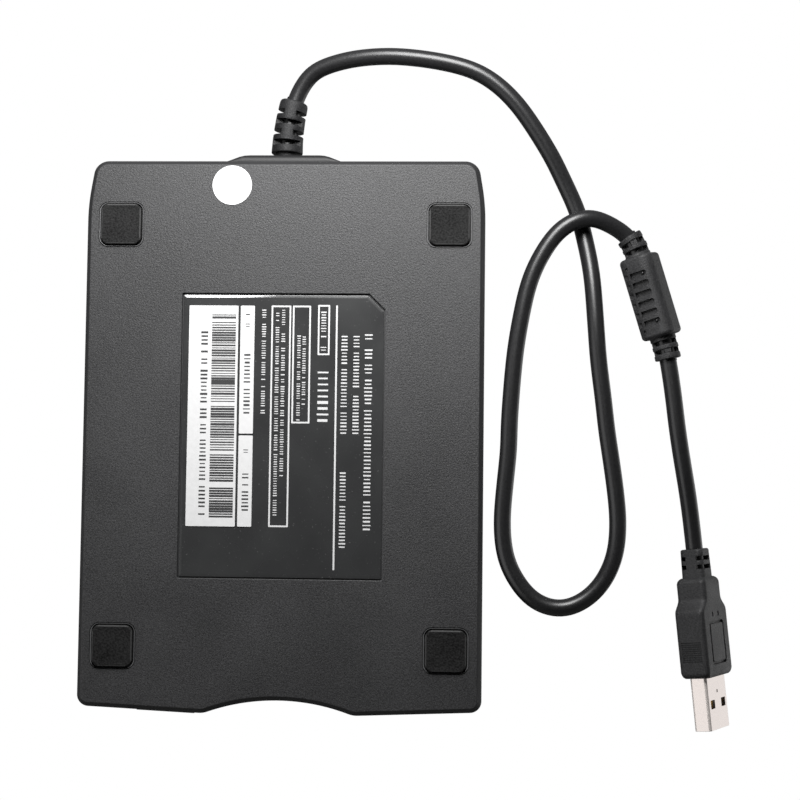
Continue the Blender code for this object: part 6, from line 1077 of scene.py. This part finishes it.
def sheath_core(shape, first, last):
    """The lead inside a boot."""
    shares = [first + (last - first) * i / 6 for i in range(7)]
    return loft(boot_rings(*shape, [(share, SHEATH_RADIUS) for share in shares]))


FLANGE, NECK, ROOT, TIP = 4.6 * MM, 3.15 * MM, 4.15 * MM, 3.75 * MM
WINDOWS, WINDOW_FROM = ((0.205, 0.300), (0.565, 0.655)), 1.7 * MM
NOTCHES, NOTCH_FROM = ((0.385, 0.475), (0.740, 0.825)), 1.5 * MM
seat = -(CASE_WALL + BOSS_PROUD + SEAT_GAP)
rings = boot_rings(0.0, 1, 1.0, 0.0, [(seat - 1.2 * MM, FLANGE), (seat, FLANGE), (seat, NECK)])
shape = (0.0, 1, RELIEF_LENGTH, RELIEF_LEAN)
stations = [(0.0, NECK), (0.07, NECK), (0.075, NECK + 0.05 * MM), (0.077, ROOT - 0.2 * MM),
            (0.085, ROOT - 0.06 * MM), (0.1, ROOT)]
stations += [(share, ROOT - (ROOT - TIP) * share) for share in (0.3, 0.5, 0.7, 0.93)]
stations += [(0.965, TIP - 0.05 * MM), (0.988, TIP - 0.2 * MM), (1.0, TIP - 0.45 * MM)]
sleeve = loft(rings + boot_rings(*shape, stations))
reach = ROOT + MM
bore_stations = [(share, BORE_RADIUS) for share in (0.15, 0.35, 0.55, 0.75, 0.9)]
sleeve = cut(sleeve, loft(boot_rings(*shape, bore_stations)))
cutters = [boot_block(*shape, shares, -reach, reach, *limits) for shares in WINDOWS
           for limits in ((WINDOW_FROM, reach), (-reach, -WINDOW_FROM))]
cutters += [boot_block(*shape, shares, *limits, -reach, reach) for shares in NOTCHES
            for limits in ((NOTCH_FROM, reach), (-reach, -NOTCH_FROM))]
sleeve = softened(cut(sleeve, *cutters), 0.12 * MM)
# The sleeve's darker PVC is painted shade.
relief = piece("strain_relief_sleeve", gathered([sleeve], [sheath_core(shape, 0.1, 1.06)]),
               [sleeve_pvc_shaded, cord_pvc], stands_for=["strain_relief"], place=RELIEF_PLACE)

# %% [markdown]
# ## Ferrite bead
# A block moulded round the ferrite core, with round corners, a ladder of grooves on one face and a
# ribbed boot at each end. The two dots beside the ladder are where pins held the core in the mould.


# %% Bead
def section(along, width, thick, corner):
    """Ring of a rounded rectangle across local X, wide along Z."""
    return [(along, y, z) for y, z in rectangle(0.0, 0.0, thick, width, corner, 12.0)]


half = BEAD_LENGTH / 2
BEAD_ROUND, END_ROUND = 2.9 * MM, 1.0 * MM
rings = []
for end, inward in ((-half - 0.2 * MM, 1), (half + 0.7 * MM, -1)):
    quarter = []
    for step in range(6):
        angle = math.radians(18.0 * step)
        back, small = END_ROUND * (1 - math.sin(angle)), END_ROUND * (1 - math.cos(angle))
        quarter.append(section(end + inward * small, BEAD_SIDE - 2 * back, BEAD_SIDE - 2 * back,
                               max(1.2 * MM, BEAD_ROUND - back)))
    rings += quarter if inward > 0 else quarter[::-1]
block = loft(rings)
RING, SEAT = 3.35 * MM, 2.24 * MM
PIN_MARKS, PIN_ACROSS, PIN_RADIUS, PIN_DEEP = (-7.9 * MM, 8.9 * MM), 2.2 * MM, 0.45 * MM, 0.6 * MM
LINKS = [(1.3, 3.1, -0.8, 0.8, 0.1, 0.40), (-3.1, -1.3, -0.8, 0.8, 0.1, 0.40),
         (-0.8, 0.8, 1.3, 3.1, 0.5, 0.80), (-0.8, 0.8, -3.1, -1.3, 0.5, 0.80),
         (1.6, 3.1, -0.6, 0.6, 0.5, 0.80), (-3.1, -1.6, -0.6, 0.6, 0.5, 0.80)]
cores, collars, bars = [], [], []
for direction, lean, shift in ((-1, BEAD_TOP_LEAN, 0.0), (1, BEAD_LOW_LEAN, 0.9 * MM)):
    shape = (direction * (half + shift), direction, BEAD_BOOT, lean)
    for start, end, radius in ((-0.25, 0.16, RING), (0.36, 0.555, RING), (0.76, 1.0, RING)):
        stations = [(start, SEAT), (start, radius - 0.15 * MM), (start + 0.03, radius), (end - 0.03, radius),
                    (end, radius - 0.15 * MM), (end, SEAT)]
        collars.append(loft(boot_rings(*shape, stations), closed=True))
    for low, high, z_low, z_high, first, last in LINKS:
        bars.append(boot_block(*shape, (first, last), low * MM, high * MM, z_low * MM, z_high * MM))
    cores.append(sheath_core(shape, -0.1, 1.0 + 0.6 * MM / BEAD_BOOT))
for part in cores + collars + bars:
    part.transform(Matrix.Rotation(-math.radians(BEAD_ROLL_DEG), 4, "X"))
block = join(join(block, *collars), *bars)
RUNGS, RUNG_PITCH, RUNG_WIDTH, RUNG_DEPTH = 6, 2.55 * MM, 1.45 * MM, 0.8 * MM


def rung_middle(i):
    """Where a groove of the ladder lies along the bead."""
    return (i - (RUNGS - 1) / 2) * RUNG_PITCH + 0.6 * MM


cutters = []
for i in range(RUNGS):
    left, right = (rung_middle(i) + side * RUNG_WIDTH / 2 for side in (-1, 1))
    for low, high, inner in ((-2.75 * MM, 1.75 * MM, 0.45 * MM), (2.35 * MM, BEAD_SIDE / 2 + MM, 0.2 * MM)):
        outline = rounded([(left, low, inner), (right, low, inner), (right, high, 0.2 * MM),
                           (left, high, 0.2 * MM)], step_deg=15.0)
        cutters.append(prism(outline, -BEAD_SIDE / 2 - MM, RUNG_DEPTH - BEAD_SIDE / 2))
for along in PIN_MARKS:
    cutters.append(turned([(-BEAD_SIDE / 2 - MM, PIN_RADIUS), (PIN_DEEP - BEAD_SIDE / 2, PIN_RADIUS)],
                          (along, PIN_ACROSS, 0.0), "Z", 16))
block = softened(cut(block, *cutters), 0.18 * MM, 3)
for i in (0, RUNGS - 1):
    cores.append(ball((rung_middle(i), -1.6 * MM, 0.75 * MM - BEAD_SIDE / 2), 0.42 * MM, 20))
bead = piece("ferrite_bead_moulding", gathered([block], cores), [soft_pvc, cord_pvc],
             stands_for=["ferrite_bead"], place=BEAD_PLACE)

# %% [markdown]
# ## Plug
# The plug's moulding widens from a neck to its grip, with fine grooves on its narrow sides and a
# shallow frame on its wide ones, left empty here. The shell is folded sheet steel with a nickel plate,
# and two square windows in it let the socket's springs click in.


# %% Plug metals
def metal(name, dark, light, size_mm, roughness, bite=0.3):
    """A bare or plated metal with a fine texture."""
    return mottled(name, dark, light, size_mm, roughness, 0.06, 4.0, bite, 1.0)


nickel = metal("satin nickel plate on folded steel", "#c2b8b3", "#dcd5d1", 0.5, 0.30, 0.25)
# Partly painted highlight: the folds are rougher, as rubbed plate is, and lighter than the plate, for bright
# lines along them.
fold_nickel_highlight = metal("nickel over the folds, rougher, with painted highlight", "#d8d0cc", "#f2eeea", 0.5, 0.75)
gold = metal("gold flash on bronze contacts", "#b08a48", "#d0ab62", 0.4, 0.28)

# %% Plug moulding
root = -SHELL_OUT - MOULD_LENGTH
MOULD_WIDTH = 15.6 * MM
GRIP_LINES, LINE_PITCH, LINE_HALF, LINE_DEEP, LINE_REACH = 10, 0.53 * MM, 0.14 * MM, 0.22 * MM, 2.7 * MM
WIDTHS = [(0.0, 7.9, 6.2, 1.0), (0.012, 8.9, 7.1, 1.2), (0.03, 9.8, 7.7, 1.3), (0.055, 10.3, 8.0, 1.3),
          (0.195, 10.3, 8.0, 1.3), (0.215, 10.4, 8.0, 1.3), (0.235, 10.8, 8.0, 1.3), (0.265, 12.1, 8.0, 1.3),
          (0.300, 14.1, 8.0, 1.3), (0.325, 15.2, 8.0, 1.3), (0.345, 15.5, 8.0, 1.3), (0.365, 15.6, 8.0, 1.3),
          (0.940, 15.6, 8.0, 1.3), (0.965, 15.3, 7.7, 1.25), (0.985, 14.6, 7.3, 1.1), (1.0, 13.4, 6.6, 0.9)]
mould = loft([section(root + MOULD_LENGTH * share, width * MM, thick * MM, corner * MM)
              for share, width, thick, corner in WIDTHS])
boot_start = root - PLUG_BOOT
mould = join(mould, loft([section(boot_start + along * MM, side * MM, side * MM, 1.4 * MM)
                          for along, side in ((0.0, 5.5), (0.15, 5.9), (0.4, 6.1), (8.6, 6.4))]))
bore = rectangle(0.0, 0.0, 2 * BORE_RADIUS, 2 * BORE_RADIUS, CORD_RADIUS)
mould = cut(mould, loft([[(boot_start + along * MM, y, z) for y, z in bore] for along in (0.9, 6.2)]))
BOOT_WINDOWS, BOOT_SIDES = ((0.25, 0.40), (0.55, 0.70)), ((-4.2, -1.35, 1.7), (1.35, 2.7, 2.2))
mould = cut(mould, *[box(boot_start + PLUG_BOOT * low, boot_start + PLUG_BOOT * high, y_low * MM, y_high * MM,
                         -4.2 * MM, z_high * MM)
                     for low, high in BOOT_WINDOWS for y_low, y_high, z_high in BOOT_SIDES])
mould = softened(mould, 0.10 * MM)
cutters = []
middle = root + MOULD_LENGTH * 0.735
for i in range(GRIP_LINES):
    along = middle + (i - (GRIP_LINES - 1) / 2) * LINE_PITCH
    for side in (-1, 1):
        cutters.append(box(along - LINE_HALF, along + LINE_HALF, -LINE_REACH, LINE_REACH,
                           side * (MOULD_WIDTH / 2 - LINE_DEEP), side * (MOULD_WIDTH / 2 + MM)))
middle = root + MOULD_LENGTH * 0.66
PANEL = [(9.4, 7.2, 0.5, 3.55), (10.9, 8.7, 1.0, 3.55), (10.9, 8.7, 1.0, 5.0), (9.4, 7.2, 0.5, 5.0)]
for side in (-1, 1):
    cutters.append(loft([[(x, side * out * MM, z) for x, z in
                          rectangle(middle, 0.0, length * MM, wide * MM, round_off * MM)]
                         for length, wide, round_off, out in PANEL], closed=True))
    for z in (-1.7 * MM, 1.7 * MM):
        cutters.append(box(root + 8.9 * MM, root + 10.1 * MM, side * 3.5 * MM, side * 5.0 * MM,
                           z - 0.35 * MM, z + 0.35 * MM))
pocket = loft([section(along * MM - SHELL_OUT, 12.2 * MM, 4.7 * MM, 0.6 * MM) for along in (-3.3, 1.0)])
mould = cut(mould, *cutters, pocket)
core = turned([(boot_start + along * MM, SHEATH_RADIUS) for along in (-0.6, 6.5)],
              (0.0, 0.0, 0.0), "X", 48)
grip = piece("plug_grip_moulding", gathered([mould], [core]), [soft_pvc, cord_pvc],
             stands_for=["plug_overmould"], place=PLUG_PLACE)

# %% Plug shell, insulator and contacts
SHELL_WIDE, SHELL_THICK = 12.0 * MM, 4.5 * MM
SHEET = [(-SHELL_OUT - 3.0 * MM, 0.0, 0.75), (-0.1 * MM, 0.0, 0.75), (0.0, 0.15 * MM, 0.70),
         (0.0, 0.50 * MM, 0.50), (-0.1 * MM, 0.6 * MM, 0.45), (-SHELL_OUT - 2.7 * MM, 0.6 * MM, 0.45)]
shell = loft([section(along, SHELL_WIDE - less, SHELL_THICK - less, corner * MM)
              for along, less, corner in SHEET])
windows = [loft([[(x, y, z) for x, z in rectangle(-6.4 * MM, side * 3.2 * MM, 2.2 * MM, 2.5 * MM, 0.2 * MM)]
                 for y in (-4.0 * MM, 4.0 * MM)]) for side in (-1, 1)]
dimple = ball((-9.5 * MM, -2.80 * MM, 0.0), 0.75 * MM, 24)
# Faces along the folds take the lighter nickel of the painted highlight.
shell = marked(cut(shell, *windows, dimple), 1,
               lambda centre: abs(centre.y) > 1.62 * MM and abs(centre.z) > 5.37 * MM)
plug_shell = piece("plug_shell_folded", shell, [nickel, fold_nickel_highlight],
                   stands_for=["plug_shell"], place=PLUG_PLACE, sharp_deg=40.0)
back, wide, face = -SHELL_OUT - 2.6 * MM, 5.6 * MM, 1.85 * MM
tongue = join(box(back, back + 4.0 * MM, -face, face, -wide, wide),
              box(back + 3.0 * MM, -1.2 * MM, face - 1.8 * MM, face, -wide, wide))
tongue = softened(tongue, 0.12 * MM)
plug_tongue = piece("plug_insulator_tongue", tongue, tongue_plastic,
                    stands_for=["plug_insulator"], place=PLUG_PLACE)
contacts = [box(back + 4.0 * MM, -2.0 * MM - inset * MM, face - 1.88 * MM, face - 1.7 * MM, (z - 0.55) * MM,
                (z + 0.55) * MM) for z, inset in ((-3.5, 0.0), (-1.0, 1.0), (1.0, 1.0), (3.5, 0.0))]
plug_contacts = piece("plug_contacts", softened(gathered(contacts), 0.05 * MM), gold,
                      place=PLUG_PLACE)

# %% [markdown]
# ## Finishes inside the drive
# Stampings are mild steel with bright zinc, the chassis and rotor are die cast aluminium, which is
# duller, and the bearing is sintered bronze. The boards are glass fibre under green solder resist. The
# light is a stub of clear acrylic that carries the lamp's light to the front.

# %% Metals, boards and clear plastic
zinc = metal("zinc plated sheet steel", "#94979c", "#b6babe", 1.5, 0.34)
aluminium = metal("die cast aluminium", "#7b7e80", "#a0a3a6", 0.6, 0.46)
spring_steel = metal("drawn spring steel", "#808286", "#a6a9ad", 0.3, 0.28)
bronze = metal("sintered bronze", "#83602f", "#ad7f4c", 0.2, 0.42)
copper = metal("enamelled copper wire", "#8a4a22", "#b2683a", 0.3, 0.30)
board = moulded("solder resist over glass fibre, green", "#184e30", "#24653e", 1.2, 0.34, 0.01, 0.3)
acrylic = moulded("clear acrylic, faint green", "#b9d8a4", "#cbe6b8", 2.0, 0.12, 0.005, 0.2)
acrylic.node_tree.nodes["Principled BSDF"].inputs["Transmission Weight"].default_value = 0.7
INNER = {"moulded_abs_black": bezel_abs, "clear_acrylic": acrylic, "plug_insulator_white": tongue_plastic,
         "zinc_plated_steel": zinc, "cast_aluminium": aluminium, "spring_steel": spring_steel,
         "circuit_board_green": board, "sintered_bronze": bronze, "acetal_black": inner_acetal,
         "head_ceramic": ceramic, "chip_epoxy": chip_epoxy}

# %% [markdown]
# ## Springs, windings and ribbon
# A helical spring is wire wound on a mandrel, so a Geometry Nodes tree makes it as one: a spiral with a
# round wire swept along it. The coils on the stator's poles repeat twice, turn by turn and pole by
# pole, and another tree sets them out.


# %% Geometry Nodes trees for wire
def swept(tree, line, wire, sides, caps=False):
    """Sweep a round wire along a curve."""
    section = node(tree, "GeometryNodeCurvePrimitiveCircle", {"Resolution": sides, "Radius": wire})
    return node(tree, "GeometryNodeCurveToMesh", {0: line.outputs[0], "Profile Curve": section.outputs[0],
                                                  "Fill Caps": caps})


HELIX, given = geometry_tree("helical spring", (
    ("Turns", "Float", 9.0), ("Radius", "Float", 0.85 * MM), ("Length", "Float", 13.0 * MM),
    ("Wire", "Float", 0.15 * MM)))
spiral = node(HELIX, "GeometryNodeCurveSpiral", {
    "Resolution": 22, "Rotations": given["Turns"], "Start Radius": given["Radius"],
    "End Radius": given["Radius"], "Height": given["Length"]})
ended(HELIX, swept(HELIX, spiral, given["Wire"], 8, True).outputs[0], given["Finish"])

COILS, given = geometry_tree("coils on poles", (
    ("Poles", "Int", 12), ("Turns", "Int", 9), ("Pitch", "Float", 0.5 * MM), ("First", "Float", 11.0 * MM),
    ("Width", "Float", 2.4 * MM), ("Height", "Float", 1.15 * MM), ("Wire", "Float", 0.16 * MM)))
loop = node(COILS, "GeometryNodeCurvePrimitiveQuadrilateral", {"Width": given["Width"],
                                                               "Height": given["Height"]})
loop = node(COILS, "GeometryNodeFilletCurve", {0: loop.outputs[0], 1: 3, 2: 0.4 * MM}, mode='POLY')
turn = swept(COILS, loop, given["Wire"], 6)
first, pitch = (node(COILS, "ShaderNodeCombineXYZ", {"X": given[name]}) for name in ("First", "Pitch"))
line = node(COILS, "GeometryNodeMeshLine", {"Count": given["Turns"], "Start Location": first.outputs[0],
                                            "Offset": pitch.outputs[0]}, mode='OFFSET')
coil = node(COILS, "GeometryNodeInstanceOnPoints", {"Points": line.outputs[0], "Instance": turn.outputs[0],
                                                    "Rotation": (math.pi / 2, 0.0, math.pi / 2)})
coil = node(COILS, "GeometryNodeRealizeInstances", {0: coil.outputs[0]})
middle = node(COILS, "GeometryNodeMeshLine", {"Count": given["Poles"], "Offset": (0.0, 0.0, 0.0)},
              mode='OFFSET')
angle = calc(COILS, 'MULTIPLY', node(COILS, "GeometryNodeInputIndex").outputs[0],
             calc(COILS, 'DIVIDE', 2 * math.pi, given["Poles"]))
ring = node(COILS, "GeometryNodeInstanceOnPoints", {
    "Points": middle.outputs[0], "Instance": coil.outputs[0],
    "Rotation": node(COILS, "ShaderNodeCombineXYZ", {"Z": angle}).outputs[0]})
ended(COILS, ring.outputs[0], given["Finish"])
print("trees:", HELIX.name, COILS.name, sep=", ")

# %% Springs
SPRING_Y, SPRING_LONG, SPRING_SHORT, SPRING_Z = -34.93 * MM, 13.6 * MM, 5.5 * MM, 4.3 * MM
DOOR_SPRING_PLACE = (42.7 * MM, -65.48 * MM, 15.4 * MM)


def wound(name, turns, radius, length, wire, place, turn_deg, axis):
    """A helical spring that starts at a place and runs along an axis."""
    coil = made_by(HELIX, {"Turns": turns, "Radius": radius - wire, "Length": length - 2 * wire, "Wire": wire})
    start = Vector(place) + wire * (Matrix.Rotation(math.radians(turn_deg), 3, axis) @ Vector((0, 0, 1)))
    coil.transform(Matrix.Translation(start) @ Matrix.Rotation(math.radians(turn_deg), 4, axis))
    return piece(f"{name}_wound", coil, spring_steel, body=NODES[name]["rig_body"],
                 stands_for=[name], place=IN_PLACE)


for side, x in (("left", -46.35 * MM), ("right", 46.35 * MM)):
    place = (x, SPRING_Y, SPRING_Z)
    spring = wound(f"slide_spring_{side}", 10.0, 1.0 * MM, SPRING_LONG, 0.13 * MM, place, -90.0, "X")
    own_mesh(spring)
wound("dust_door_spring", 5.0, 0.95 * MM, 2.4 * MM, 0.15 * MM, DOOR_SPRING_PLACE, 90.0, "Y")

# %% Stator and ribbon
SPINDLE_Y, STATOR_LOW, STATOR_HIGH = -20.23 * MM, 4.1 * MM, 5.6 * MM
POLES = 12
POLE_EDGE = [(17.9, 2.35), (17.0, 2.3), (16.6, 0.75), (10.2, 0.75)]
outline = []
for pole in range(POLES):
    middle = 2 * math.pi * pole / POLES
    outline += [(radius * MM, middle - half / radius) for radius, half in reversed(POLE_EDGE)]
    outline += [(radius * MM, middle + half / radius) for radius, half in POLE_EDGE]
level = (STATOR_LOW + STATOR_HIGH) / 2
core = prism([(r * math.cos(a), r * math.sin(a)) for r, a in outline], level - 0.35 * MM, level + 0.35 * MM)
core = cut(core, turned([(level - MM, 7.05 * MM), (level + MM, 7.05 * MM)], (0.0, 0.0, 0.0), "Z", 48))
coils = made_by(COILS, {"Poles": POLES, "Turns": 11, "Pitch": 0.5 * MM, "First": 11.0 * MM,
                        "Width": 2.2 * MM, "Height": 1.14 * MM, "Wire": 0.17 * MM})
coils.transform(Matrix.Translation((0.0, 0.0, level)))
piece("spindle_stator_wound", gathered([core], [coils]), [zinc, copper],
      stands_for=["spindle_stator"], place=Matrix.Translation((0.0, SPINDLE_Y, 0.0)))

RIBBON_X, WIRES, FACETS = (-36.0 * MM, -22.0 * MM), 14, 4
RIBBON_PATH = [(46.27, 4.25), (47.8, 4.25), (49.1, 4.27), (50.0, 4.42), (50.8, 4.66), (51.7, 4.87),
               (52.6, 4.95), (53.5, 4.96), (54.4, 4.95), (55.3, 4.87), (56.2, 4.66), (57.0, 4.42),
               (57.9, 4.27), (59.2, 4.25), (60.77, 4.25)]
FILM_HALF, WIRE_BULGE = 0.06 * MM, 0.07 * MM
across = [(RIBBON_X[0] + (RIBBON_X[1] - RIBBON_X[0]) * i / (WIRES * FACETS),
           FILM_HALF + WIRE_BULGE * abs(math.sin(math.pi * i / FACETS))) for i in range(WIRES * FACETS + 1)]
rings = [[(x, y * MM, z * MM - thick) for x, thick in across]
         + [(x, y * MM, z * MM + thick) for x, thick in reversed(across)] for y, z in RIBBON_PATH]
piece("ribbon_cable_moulding", loft(rings), ribbon_film, stands_for=["ribbon_cable"],
      place=IN_PLACE, sharp_deg=60.0)

# %% [markdown]
# ## The rest of the mechanism
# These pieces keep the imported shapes. Their triangles are merged to flat faces, every sharp edge gets
# a small bevel, as deburring leaves, and each gets the finish that its slot names.

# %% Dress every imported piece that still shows
DEBURR = 0.08 * MM
for entry in frame["record"]["subparts"]:
    name = entry["node"]
    if not NODES[name].hide_render:
        piece(f"{name}_dressed", softened(packed(name), DEBURR), INNER[entry["material_slot"]],
              body=NODES[name]["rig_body"], stands_for=[name], place=IN_PLACE)

# %% [markdown]
# The first stretch leaves the strain relief and ends in the bead, the second leaves the bead and ends
# in the plug.

# %% Cords
print(f"lead, boot to plug: {lead_length + tail_length + 2 * BOOT_TIP:.3f} m")
